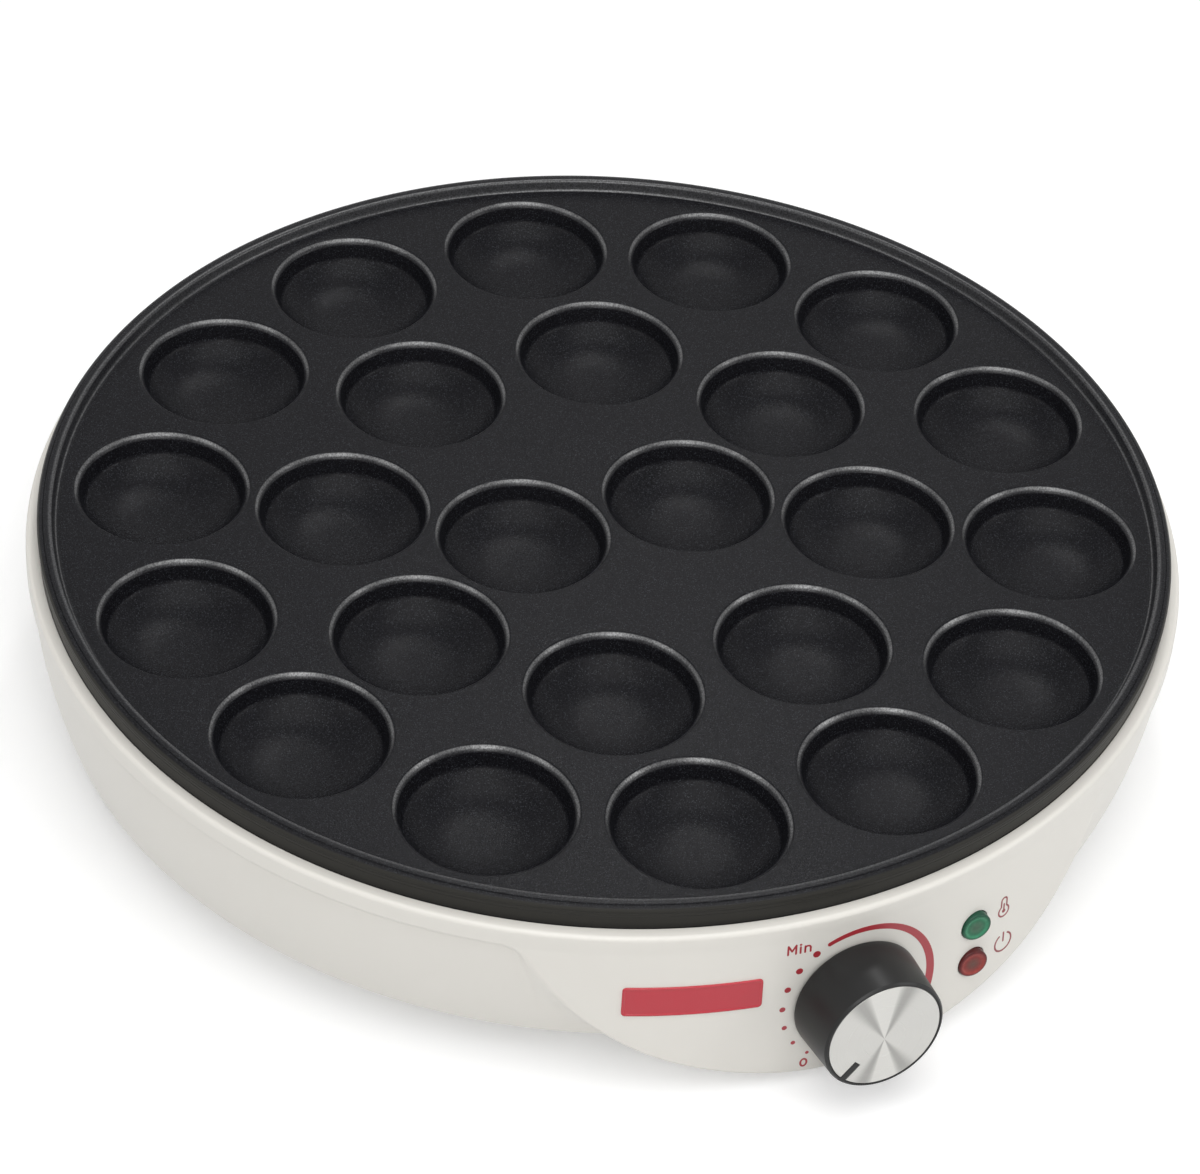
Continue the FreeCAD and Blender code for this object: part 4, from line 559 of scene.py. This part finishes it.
# rows: the knob's own x, its own y (up the face) and its own z (out of the face)
dial_turn = np.array([[1, 0, 0], [0, sin(LEAN), cos(LEAN)], [0, -cos(LEAN), sin(LEAN)]])
spun, tree, principled, place = new_material("spun_aluminium")
centred = add(tree, "Mapping", {"Vector": place, "Location": tuple(-dial_point * MM)})
swung = add(tree, "Mapping", {"Vector": centred, "Rotation": (0, radians(3.0), 0)})
spot = add(tree, "SeparateXYZ", {"Vector": swung})
across2, along2 = (calc(tree, "MULTIPLY", spot.outputs[k], spot.outputs[k]) for k in "XZ")
cosine2 = calc(tree, "DIVIDE", calc(tree, "SUBTRACT", along2, across2), calc(tree, "ADD", along2, across2))
cubes = calc(tree, "MULTIPLY", calc(tree, "POWER", cosine2, 3.0), 4.0)
wave = calc(tree, "SUBTRACT", cubes, calc(tree, "MULTIPLY", cosine2, 3.0))
fade = calc(tree, "POWER", calc(tree, "MAXIMUM", cosine2, 0.0), 1.5)
# painted light: the pale and darker fans of reflection are painted into the disc's base colour
painted_light_fans = remap(tree, calc(tree, "MULTIPLY", wave, fade), -0.42, 0.1, 0.52, 0.9)
turned = add(tree, "Group", {
    "Across": reach(tree, centred, (1, 0, 1)), "Lines per metre": 5200.0, "Gloss": 0.22,
    "Color": tinted(tree, paint(214, 213, 209), painted_light_fans)}, node_tree=lines)
bump = add(tree, "Bump", {"Strength": 0.25, "Distance": 0.01 * MM, "Height": turned.outputs["Height"]})
fill_in(tree, principled, {
    "Base Color": turned.outputs["Color"], "Roughness": turned.outputs["Roughness"], "Normal": bump,
    "Tangent": add(tree, "Tangent", direction_type="RADIAL", axis="Y"), "Metallic": 1.0, "Anisotropic": 0.85})
print("disc finish", spun.name)

# %% [markdown]
# ## The cooking plate
#
# The plate is one casting: a flat land with 24 wells, a raised rim and a skirt. A height map over the whole
# plate would need millions of points to keep the well mouths crisp, so each well is its own round patch
# instead. Its profile starts flat, rolls over the mouth, drops down a steep wall and ends in a shallow
# dish. The flat land between the patches is filled with triangles, which meet the patches in the flat
# ring where every normal points straight up, so no seam shows. The rim is a flat top with a fine groove at
# its outer edge, and two more grooves run round the side below it.

# %% Wells
COOK = 57.0  # height of the cooking surface
UNDER = 53.6  # and of its underside
WELL_EDGE = 24.0  # radius of a well's patch
WELL_COLUMNS, RIM_COLUMNS = 80, 288
rings = [(117.9, np.arange(14) / 14), (69.8, (np.arange(8) + 0.5) / 8), (24.05, np.arange(2) / 2)]
centres = np.concatenate([np.stack([r * np.cos(2 * pi * t), r * np.sin(2 * pi * t)], -1) for r, t in rings])


def dish(foot, rim, width, steps):
    """Shallow dish as (radius, height): height grows with the 3.4th power of the radius."""
    r = width * np.linspace(1, 0, steps) ** 0.8
    return np.stack([r, foot + (rim - foot) * (r / width) ** 3.4], -1)


mouth = rounded([(WELL_EDGE, COOK), (23.3, COOK), (21.9, 55.6), (20.7, 51.4), (17.8, 49.0)],
                [0, 0.7, 1.4, 2.4, 0], 6)
well_top = np.concatenate([mouth[:-1], dish(46.0, 49.4, 18.2, 12)])
well_under = np.array([(WELL_EDGE, UNDER), (22.9, 53.4), (22.9, 51.2), (18.6, 47.2), (13.65, 43.7),
                       (0.0, 43.7)])


def copies(profile, columns):
    """One round patch per well, as an array of wells, rows, columns and coordinates."""
    return carried_round(profile, columns) + np.insert(centres, 2, 0, axis=1)[:, None, None]


print("wells", len(centres), "rows", len(well_top))

# %% [markdown]
# The land is the flat part that the patches leave over. Blender's own Delaunay triangulation fills a flat
# area between closed loops, which would be slow and clumsy by hand, so it gets the circle of the rim and
# the circles of the wells. It fills the wells as well, and those triangles are taken out again.

# %% Land between the wells
def land(height, outer, columns):
    """Flat plate with a hole at each well, as points and triangles.

    Triangles whose three corners lie on the same well's circle are left out.
    """
    rim = carried_round(np.array([[outer, height]]), RIM_COLUMNS)[0]
    holes = copies(np.array([[WELL_EDGE, height]]), columns)[:, 0]
    points, edges = joined([(loop, np.stack([np.arange(len(loop)), np.roll(np.arange(len(loop)), -1)], 1))
                            for loop in (rim, *holes)])
    flat = [Vector(p) for p in points[:, :2].tolist()]
    verts, _, faces, *_ = delaunay_2d_cdt(flat, edges.tolist(), [], 0, 1e-5)
    faces = np.array([f[:3] for f in faces])
    spots = np.array([tuple(v) for v in verts])
    on_circle = np.abs(np.linalg.norm(spots[:, None] - centres, axis=2) - WELL_EDGE) < 0.01
    faces = faces[~on_circle[faces].all(1).any(1)]
    return np.insert(spots, 2, height, axis=1), faces


RIM_START = 144.2  # radius where the land ends
top_points, top_faces = land(COOK, RIM_START, WELL_COLUMNS)
under_points, under_faces = land(UNDER, RIM_START, WELL_COLUMNS // 2)
print("land triangles", len(top_faces), len(under_faces))

# %% [markdown]
# The rim and the skirt are one profile that is carried round. Its fine grooves are tool marks on the real
# casting: they are only a few tenths of a millimetre deep, but each draws a thin line of light.

# %% Rim, skirt and the whole plate
rim_profile = rounded(
    [(RIM_START, COOK), (145.15, COOK), (146.15, 60.0), (148.2, 60.0), (148.36, 59.55), (148.55, 59.82),
     (149.5, 59.45), (149.9, 58.9), (149.92, 58.35), (149.72, 58.22), (149.9, 58.09), (149.86, 57.3),
     (149.66, 57.18), (149.84, 57.05), (149.35, 52.6), (148.75, 49.2), (146.1, 49.2), (146.1, UNDER),
     (RIM_START, UNDER)],
    [0, 0.9, 0.8, 0.14, 0.1, 0.14, 0.35, 0.35, 0.08, 0.06, 0.08, 0.08, 0.06, 0.08, 3.0, 0.5, 0.5, 0.8, 0], 3)
parts = [(carried_round(rim_profile, RIM_COLUMNS), grid_faces(len(rim_profile), RIM_COLUMNS)[:, ::-1])]
for profile, columns, turn in ((well_top, WELL_COLUMNS, 1), (well_under, WELL_COLUMNS // 2, -1)):
    faces = grid_faces(len(profile), columns)[:, ::turn]
    parts += [(patch, faces) for patch in copies(profile, columns)]
points, quads = joined(parts)
land_points, triangles = joined([(top_points, top_faces), (under_points, under_faces[:, ::-1])])
plate_mesh = make_mesh("cooking_plate_cast", np.concatenate([points, land_points]),
                       [*quads, *(triangles + len(points))], weld=0.004, sharp=40)
make_piece("cooking_plate_cast", plate_mesh, "base", "coated_plate", coating, "cooking_plate")

# %% [markdown]
# ## The housing
#
# The housing is an injection moulding, about 2.6 mm thick. Its wall bows gently up to a rim band, and at the
# front an apron stands proud of it and hangs lower. The section through the wall changes all the way
# round, so the surface is a grid: columns go round the axis, and each column's rows follow the whole
# section, up the outside, over the lip, along the ledge and down the inside. The rows bunch up along the
# apron's edge and follow it, which keeps that long S-shaped step crisp without a fine grid elsewhere.

# %% The apron's outline
FOOT = 12.7  # height of the plain wall's foot


def edge_height(x):
    """Height of the apron's lower edge at a distance x from its middle, seen from the front.

    A belly circle of radius 118 runs into a side circle of radius 65.88, then a straight flank at 60
    degrees, then a corner circle of radius 6 that ends in the rim band's foot. Each starts where it
    touches the last one, at x = 44.01, 76.49 and 79.70.
    """
    x = np.abs(x)
    belly = 120 - np.sqrt(118**2 - np.minimum(x, 44.01) ** 2)
    side = 71.64 - np.sqrt(65.88**2 - np.clip(x - 19.44, 0, 57.05) ** 2)
    flank = 38.70 + (x - 76.49) * tan(radians(60))
    corner = 41.2 + np.sqrt(np.maximum(36 - (x - 84.9) ** 2, 0))
    return np.select([x <= 44.01, x <= 76.49, x <= 79.70, x <= 84.9], [belly, side, flank, corner], BAND)


def edge_slope(x):
    """Cosine of the slope of that edge, which turns a height above it into a distance from it."""
    rise = (edge_height(x + 0.05) - edge_height(x - 0.05)) / 0.1
    return 1 / np.sqrt(1 + rise**2)


def across(angle, radius):
    """Distance x at an angle from the front, and one beyond the apron's edge for the whole back."""
    return np.where(np.abs(angle) < pi / 2, radius * np.sin(angle), 200.0)


def edge_at(angle):
    """The edge's height on the apron's face at an angle from the front.

    The face leans, so its radius depends on the height that is looked for: a few rounds settle it.
    """
    z = np.full_like(angle, 30.0)
    for _ in range(12):
        x = across(angle, face_radius(z))
        z = 0.5 * z + 0.5 * edge_height(x)
    return z, x


print("edge at the middle", edge_height(np.array(0.0)), "mm up")

# %% [markdown]
# Two more curves make up the section. The plain wall bows outwards like a barrel, and the apron's edge is a
# step that rises from the wall to the face through a hollow.

# %% Wall and step
def wall_radius(z):
    """Radius of the plain wall: a circle of radius 110 bowed outwards from 146.3 at the foot to 151.8."""
    t = (z - FOOT) / 33.9
    bow = 110 - np.sqrt(110**2 - 17.15**2)
    chord = 146.3 + 5.5 * t
    bulge = np.sqrt(np.maximum(110**2 - (34.35 * (t - 0.5)) ** 2, 0)) - 110 + bow
    return np.minimum(chord + np.where(t <= 1.05, bulge, 0), 151.8)


def step(d, along):
    """How far the surface has risen from the wall, from 0 to 1, at a distance d above the edge.

    Below the edge it rises as a hollow curve, (1 + d / width) to a power, and it is blended into 1 at the
    edge with a small round. The hollow is 7.5 wide where along is 1, at the apron, and shrinks to a plain
    step of 1.2 where along is 0, under the rim band.
    """
    width, power, soft = 1.2 + 6.3 * along, 1.3 + 1.3 * along, 0.7 - 0.4 * along
    u = np.clip(1 + d / width, 0, 1.8) ** power
    gap = np.maximum(soft - np.abs(u - 1), 0)
    return np.minimum(u, 1) - gap**2 / (4 * soft)


print("radius at the wall's foot", round(float(wall_radius(FOOT)), 2))

# %% [markdown]
# With these curves the whole moulding is one grid. The columns stand closer together at the front, where the
# edge is steep, and the inside is the outside moved in by a wall.

# %% Sections of the housing
WALL = 2.6
LIP_TOP, LEDGE_FOOT = 52.8, 44.7
INNER_RADIUS = 143.7  # where the section's foot turns in


def spread(a, b, n, power=1.0):
    """n values from a to b, bunched towards b when the power is over 1."""
    return a + (b - a) * (1 - (1 - np.linspace(0, 1, n)) ** power)[:, None]


FACE, FRONT_END = 154.0, 92.0  # about the face's radius, and how far the close columns reach
front_x = np.concatenate([np.arange(0, 40, 1.6), np.arange(40, FRONT_END, 0.45)])
half = np.concatenate([np.arcsin(front_x / FACE), np.linspace(np.arcsin(FRONT_END / FACE), pi, 92)])
angle = np.concatenate([-half[:0:-1], half[:-1]])
edge_z, edge_x = edge_at(angle)
cosine = np.where(edge_z < BAND - 0.01, edge_slope(edge_x), 1.0)
along = np.clip((BAND - edge_z) / 9, 0, 1)
along = along * along * (3 - 2 * along)
low = np.minimum(FOOT, edge_z)


def outside(z, inset=0.0, wall=0.0):
    """Radius of the outer or, with a wall, the inner surface at each height and column."""
    d = (z - edge_z - inset / cosine) * cosine
    return wall_radius(z) + (face_radius(z) - wall_radius(z)) * step(d, along) - wall


both_ends = (1 - np.cos(np.linspace(0, pi, 34)[1:, None])) / 2
band_z = BAND + 1.6
rows_z = np.concatenate([spread(low, edge_z, 26, 2.2), edge_z + (band_z - edge_z) * both_ends])
outer = np.stack([outside(rows_z), rows_z], -1)
lip = rounded([(BAND_RADIUS, band_z), (BAND_RADIUS, LIP_TOP), (149.4, LIP_TOP), (149.4, 47.3), (144.8, 47.3),
               (144.8, LEDGE_FOOT), (149.3, LEDGE_FOOT)], [0, 1.3, 0.25, 0.6, 0.3, 0.3, 0], 7)[1:-1]
lip_rows = np.repeat(lip[:, None], len(angle), 1)
inner_z = spread(LEDGE_FOOT + 0 * angle, low + WALL, 14)
inner = np.stack([np.minimum(outside(inner_z, WALL, WALL), 150.6), inner_z], -1)
turn_z = np.stack([low + WALL, np.minimum(FOOT, edge_height(across(angle, INNER_RADIUS)))])
turn = np.stack([np.full_like(turn_z, INNER_RADIUS), turn_z], -1)
section = np.concatenate([outer, lip_rows, inner, turn])
grid = np.stack([section[..., 0] * np.sin(angle), -section[..., 0] * np.cos(angle), section[..., 1]], -1)
shell_mesh = grid_mesh("housing_shell", grid, close_rows=True, weld=0.01, sharp=45)
print("shell faces", len(shell_mesh.polygons), checked(shell_mesh))

# %% [markdown]
# ## Knob, disc and lamps
#
# Each is turned about an axis that leaves the apron's face at a right angle, so one function carries a
# profile round that axis. Holes are cut and ribs are joined with exact boolean modifiers, which keep both
# surfaces as they are away from the cut.

# %% Pieces on the apron's face
def place_on_face(points, right, height):
    """Points of a piece whose own z points out of the apron's face, moved to the right and up.

    Every piece on the face has the knob's direction, so one farther round the face stands proud of it
    more on its outer side than on its inner side.
    """
    spot = np.array([right, -np.sqrt(face_radius(height) ** 2 - right**2), height])
    return points @ dial_turn + spot


def turned_piece(name, profile, columns, right=0.0, height=DIAL_HEIGHT, sharp=40):
    """Profile of (radius, distance out of the face), from the back round to the front."""
    return grid_mesh(name, place_on_face(carried_round(profile, columns), right, height), sharp=sharp)


def combined(name, mesh, tools, sharp=45):
    """Mesh with other closed meshes joined to it (UNION) or cut from it (DIFFERENCE)."""
    base = new_object(name, mesh)
    for kind, tool in tools:
        change = base.modifiers.new("change", "BOOLEAN")
        change.operation, change.solver, change.object = kind, "EXACT", new_object("tool", tool)
    graph = bpy.context.evaluated_depsgraph_get()
    made = bpy.data.meshes.new_from_object(base.evaluated_get(graph))
    for item in [change.object for change in base.modifiers] + [base]:
        bpy.data.objects.remove(item)
    made.name = name
    made.polygons.foreach_set("use_smooth", np.ones(len(made.polygons), bool))
    made.set_sharp_from_angle(angle=radians(sharp))
    return made


def bore(radius, *place):
    """Cylinder that goes through the apron's wall."""
    ends = [(0, -12.0), (radius, -12.0), (radius, 6.0), (0, 6.0)]
    return "DIFFERENCE", turned_piece("bore", np.array(ends), *place)


bores = [bore(6.2, 48)] + [bore(LENS_RADIUS + 0.2, 64, LAMP_SIDE, height) for height in LAMPS.values()]
print("bores", len(bores))

# %% [markdown]
# At the back the round wall gets a flat pad, a rounded slab, for the cord's inlet, and a square hole goes
# through both.

# %% Pad and hole for the inlet, and the whole housing
PAD_FACE, INLET_HEIGHT = 152.0, 27.55


def behind(rings):
    """Slab points (x, y, lift) stood upright at the back: lift runs along +Y, and x is mirrored."""
    return np.stack([-rings[..., 0], PAD_FACE + rings[..., 2], INLET_HEIGHT + rings[..., 1]], -1)


pad_profile = rounded([(0, -7.6), (0, 0), (3, 0)], [0, 0.7, 0], 4)
pad = grid_mesh("pad", behind(slab_rings(34.6, 22.6, 1.6, pad_profile)))
hole = grid_mesh("hole", behind(slab_rings(27.2, 18.2, 0.8, [(0, -20.0), (0, 20.0)])))
housing_mesh = combined("housing_moulded", shell_mesh, [("UNION", pad), ("DIFFERENCE", hole), *bores])
make_piece("housing_moulded", housing_mesh, "base", "cream_shell", cream, "base_housing")

# %% [markdown]
# The knob is a cup with a metal disc let into its face. Its pointer is a rib of the black cup that comes
# through a slot in the disc, so the rib is joined to the cup and a wider slot is cut from the disc. Both turn
# with the shaft, so they ride on the knob's body. The lenses stay on the base.

# %% Knob, disc and lenses
knob_profile = rounded(
    [(0, 14.8), (14.2, 14.8), (15.0, 0.5), (16.9, 0.5), (16.9, 1.7), (16.2, 15.85), (15.7, 16.4),
     (15.2, 16.4), (15.2, 15.6), (0, 15.6)],
    [0, 0.8, 0.2, 0.35, 1.2, 0.25, 0.15, 0.12, 0, 0], 5)
POINTER = radians(224.5)


def on_knob(rings, along):
    """Slab points (x, y, lift) on the knob: x runs along the pointer's direction, lift out of the face."""
    x, y = rings[..., 0] + along, rings[..., 1]
    c, s = cos(POINTER), sin(POINTER)
    return place_on_face(np.stack([x * c - y * s, x * s + y * c, rings[..., 2]], -1), 0.0, DIAL_HEIGHT)


rib_rings = slab_rings(6.2, 1.9, 0.12, rounded([(0, 15.1), (0, 16.4), (0.5, 16.4)], [0, 0.14, 0], 3))
rib = grid_mesh("pointer_rib", on_knob(rib_rings, 12.9))
slot = grid_mesh("pointer_slot", on_knob(slab_rings(8.0, 2.1, 0.14, [(0, 14.0), (0, 18.0)]), 13.7))
knob_mesh = combined("knob_cap", turned_piece("knob_cup", knob_profile, 160, sharp=35), [("UNION", rib)], 35)
make_piece("knob_cap", knob_mesh, "knob", "knob_black", knob_black, "knob_grip")
disc_profile = rounded([(0, 15.62), (15.1, 15.62), (15.1, 16.38), (0, 16.38)], [0, 0, 0.2, 0], 5)
disc_mesh = combined("knob_disc_spun", turned_piece("disc_blank", disc_profile, 160, sharp=35),
                     [("DIFFERENCE", slot)], 35)
make_piece("knob_disc_spun", disc_mesh, "knob", "spun_aluminium", spun, "knob_disc")
lens_profile = rounded([(0, -6.4), (LENS_RADIUS, -6.4), (LENS_RADIUS, 1.4), (3.1, 1.4), (2.75, 1.12),
                        (1.6, 1.16), (0, 1.2)], [0, 0.2, 0.42, 0.15, 0.3, 0.5, 0], 5)
for name, material in lenses.items():
    lens_mesh = turned_piece(f"{name}_lens_dome", lens_profile, 72, LAMP_SIDE, LAMPS[name])
    make_piece(f"{name}_lens_dome", lens_mesh, "base", f"{name}_painted_light", material, f"{name}_lens")

# %% [markdown]
# ## Print on the apron
#
# The dial's scale, its word, its number and the lamps' symbols are printed in dark red. Each mark is a
# stroke: a ribbon of even or growing width with round ends, carried along a path that is drawn flat and
# wrapped round the leaning face. Letters drawn the same way keep the round, thin look of the print, which a
# ready-made font would not. The ink stands 0.04 mm proud, so it is a closed, very thin piece.

# %% Strokes
INK_TOP, INK_ROOT = 0.04, -0.3  # above and below the apron's face


def on_face(x, z, lift):
    """Point of the apron's face: x is measured round the face from its middle, at the dial's height."""
    turn = x / face_radius(DIAL_HEIGHT)
    r = face_radius(z) + lift
    return np.stack([r * np.sin(turn), -r * np.cos(turn), z + 0 * r], -1)


def stroke(path, width, closed=False):
    """Closed ribbon along (x, z) points, as points and faces.

    At each point the ribbon runs half a width to each side along the path's normal. Round ends go on past
    the path by half a width times the sine of an angle while the ribbon narrows by its cosine.
    """
    path = np.asarray(path, float)
    along = np.roll(path, -1, 0) - np.roll(path, 1, 0) if closed else np.gradient(path, axis=0)
    along /= np.linalg.norm(along, axis=1)[:, None]
    half = np.broadcast_to(np.asarray(width, float) / 2, len(path)).copy()
    if not closed:
        a = np.linspace(pi / 2, 0, 7)[:-1]
        first = path[0] - along[0] * half[0] * np.sin(a)[:, None]
        last = path[-1] + along[-1] * half[-1] * np.sin(a[::-1])[:, None]
        path = np.concatenate([first, path, last])
        along = np.concatenate([np.repeat(along[:1], 6, 0), along, np.repeat(along[-1:], 6, 0)])
        half = np.concatenate([half[0] * np.cos(a), half, half[-1] * np.cos(a[::-1])])
    side = np.stack([-along[:, 1], along[:, 0]], -1) * half[:, None]
    left, right = path + side, path - side
    corners = ((left, INK_TOP), (right, INK_TOP), (right, INK_ROOT), (left, INK_ROOT))
    ring = np.stack([on_face(*edge.T, lift) for edge, lift in corners], 1)
    return ring, grid_faces(len(path), 4, close_rows=closed)


def print_marks(name, marks, color):
    """One piece of ink from many strokes."""
    make_piece(name, make_mesh(name, *joined(marks), weld=0.001, sharp=30), "base", None, color)


def arc(x, z, radius, start, end, count=24, flat=1.0):
    """Points of a circle or, with flat, of an ellipse, from one angle to another in degrees."""
    a = np.radians(np.linspace(start, end, count))
    return np.stack([x + radius * flat * np.cos(a), z + radius * np.sin(a)], -1)


print("a stroke has", stroke([(0, 0), (1, 0)], 0.5)[0].shape, "points")

# %% [markdown]
# The scale is seven dots that grow towards a broad arc, which stands for the useful heats. A dot is a stroke
# that hardly moves.

# %% Scale round the dial
marks = []
# a dot's width at each angle
dots = {233.3: 0.95, 216.2: 1.2, 198.1: 1.35, 179.4: 1.55, 160.6: 1.7, 142.5: 1.85, 124.5: 2.0}
for angle_at, size_at in dots.items():
    away = 19.3 + 0.85 * sin(radians(angle_at)) ** 2
    dot = np.array([away * cos(radians(angle_at)), DIAL_HEIGHT + away * sin(radians(angle_at))])
    marks.append(stroke([dot - (0.005, 0), dot + (0.005, 0)], size_at))
t = np.linspace(0, 1, 90)
middle = 20.2 + 2.2 * t
bend = np.radians(113 - 149 * t)
band = np.stack([middle * np.cos(bend), DIAL_HEIGHT + middle * np.sin(bend)], -1)
marks.append(stroke(band, 1.2 + 1.5 * t))
print("marks", len(marks))

# %% [markdown]
# A letter is a few paths on a grid of thirds of its height, as on squared paper.

# %% Letters and numbers
def letters(x, z, tall, width):
    """The word for the lowest setting, as strokes: a capital M, a small i and a small n."""
    s = tall / 3.0
    paths = [[(0, 0), (0, 3)], [(0, 3), (1.15, 1.05)], [(1.15, 1.05), (2.3, 3)], [(2.3, 3), (2.3, 0)],
             [(3.6, 0), (3.6, 2.1)], [(4.95, 0), (4.95, 2.1)]]
    made = [stroke(np.array(path) * s + (x, z), width) for path in paths]
    made.append(stroke(np.array([(3.59, 2.95), (3.61, 2.95)]) * s + (x, z), width * 1.25))
    bow = arc(x + 5.75 * s, z + 1.3 * s, 0.8 * s, 180, 0, 14)
    made.append(stroke(np.concatenate([bow, [[x + 6.55 * s, z]]]), width))
    return made


marks += letters(-18.95, DIAL_HEIGHT + 17.95, 2.7, 0.5)
zero = arc(-12.6, DIAL_HEIGHT - 19.05, 1.15, 0, 360, 33, flat=0.7)[:-1]
marks.append(stroke(zero, 0.52, closed=True))
print_marks("dial_print", marks, ink)

# %% [markdown]
# The symbols are line drawings too: a thermometer, whose outline is one closed stroke, and a power sign.

# %% Symbols beside the lamps
tx, tz = 45.45, 31.25
bulb = arc(tx, tz, 1.75, 122, 418, 32)
top = arc(tx, tz + 3.5, 0.92, 0, 180, 14)
symbols = [stroke(np.concatenate([bulb, top]), 0.48, closed=True),
           stroke([(tx, tz + 0.2), (tx, tz + 2.3)], 0.48), stroke([(tx - 0.01, tz), (tx + 0.01, tz)], 1.15)]
px, pz = 46.1, 20.45
symbols += [stroke(arc(px, pz, 2.82, 122, 420, 50), 0.52), stroke([(px, pz + 0.35), (px, pz + 3.15)], 0.52)]
print_marks("lamp_symbols", symbols, symbol_ink)

# %% [markdown]
# ## The plate beside the dial
#
# Left of the dial sits a small red plate. It stays bare. A plate like this is pressed and lacquered, so its
# rim stands a little proud of its field. It is a rounded slab whose points are wrapped round the face.

# %% Badge plate
badge_profile = rounded([(0.0, -0.3), (0.0, 0.42), (0.55, 0.42), (0.75, 0.26), (1.2, 0.26)],
                        [0, 0.22, 0.12, 0.12, 0], 4)
bx, bz = radians(-15.7) * face_radius(DIAL_HEIGHT), 32.35
rings = slab_rings(35.0, 9.0, 1.1, badge_profile)
steps = np.linspace(0, 1, 20)[1:-1]
field = np.stack([rings[-2] * (1 - t, 1 - t, 1) for t in steps])
rings = np.concatenate([rings[:-1], field, rings[-1:]])
badge_points = on_face(rings[..., 0] + bx, rings[..., 1] + bz, rings[..., 2])
make_piece("badge_plate", grid_mesh("badge_plate", badge_points, sharp=35), "base", None, badge_red)

# %% [markdown]
# ## Finishes for the pieces that stay as they are
#
# The engineering model's own pieces inside the housing, under it and at the back have the right shape and
# only take a finish.

# %% Finishes by piece
finishes = {
    cover_cream: ["base_cover"],
    rubber: ["rubber_feet"],
    black_plastic: ["mains_inlet"],
    phenolic: ["thermostat_body", "terminal_block"],
    ceramic: ["element_bushes", "lamp_holders", "thermal_fuse"],
    sheath: ["outer_element", "inner_element"],
    galvanised: ["heat_shield", "element_saddles", "thermostat_bracket", "bulb_clip", "fuse_clip"],
    brass: ["inlet_blades", "terminal_screws", "earth_tag"],
}
named = {name: material for material, names in finishes.items() for name in names}
for name, item in node.items():
    item.data.materials.clear()
    item.data.materials.append(named.get(name, steel))
print("finished", len(node), "nodes,", len(named), "by name")

# %% [markdown]
# ## The floor
#
# The sweep is one wide sheet. It takes the object's soft shadow like any matt surface, and a little light of
# its own, which only the camera and mirrored rays see, lifts it to white without lighting the object. Far
# away, where the lamps don't reach, the camera sees it as plain white.

# %% Floor
NEAR_GLOW = 0.32
HALF = 9000  # mm
floor_mesh = make_mesh("floor", [(-HALF, -HALF, 0), (HALF, -HALF, 0), (HALF, HALF, 0), (-HALF, HALF, 0)],
                       [[0, 1, 2, 3]])
new_object("floor", floor_mesh)
white, tree, sweep, place = new_material("white_sweep")
eye = add(tree, "LightPath")
far = remap(tree, reach(tree, place, (1, 1, 0)), 0.5, 1.6, NEAR_GLOW, 1.0)
seen = calc(tree, "MULTIPLY", eye.outputs["Is Camera Ray"], far)
mirrored = calc(tree, "MULTIPLY", eye.outputs["Is Glossy Ray"], NEAR_GLOW)
fill_in(tree, sweep, {
    "Base Color": paint(232, 232, 232), "Roughness": 0.9, "Specular IOR Level": 0.1,
    "Emission Color": (1, 1, 1, 1), "Emission Strength": calc(tree, "MAXIMUM", seen, mirrored)})
floor_mesh.materials.append(white)
print("floor 18 m wide")
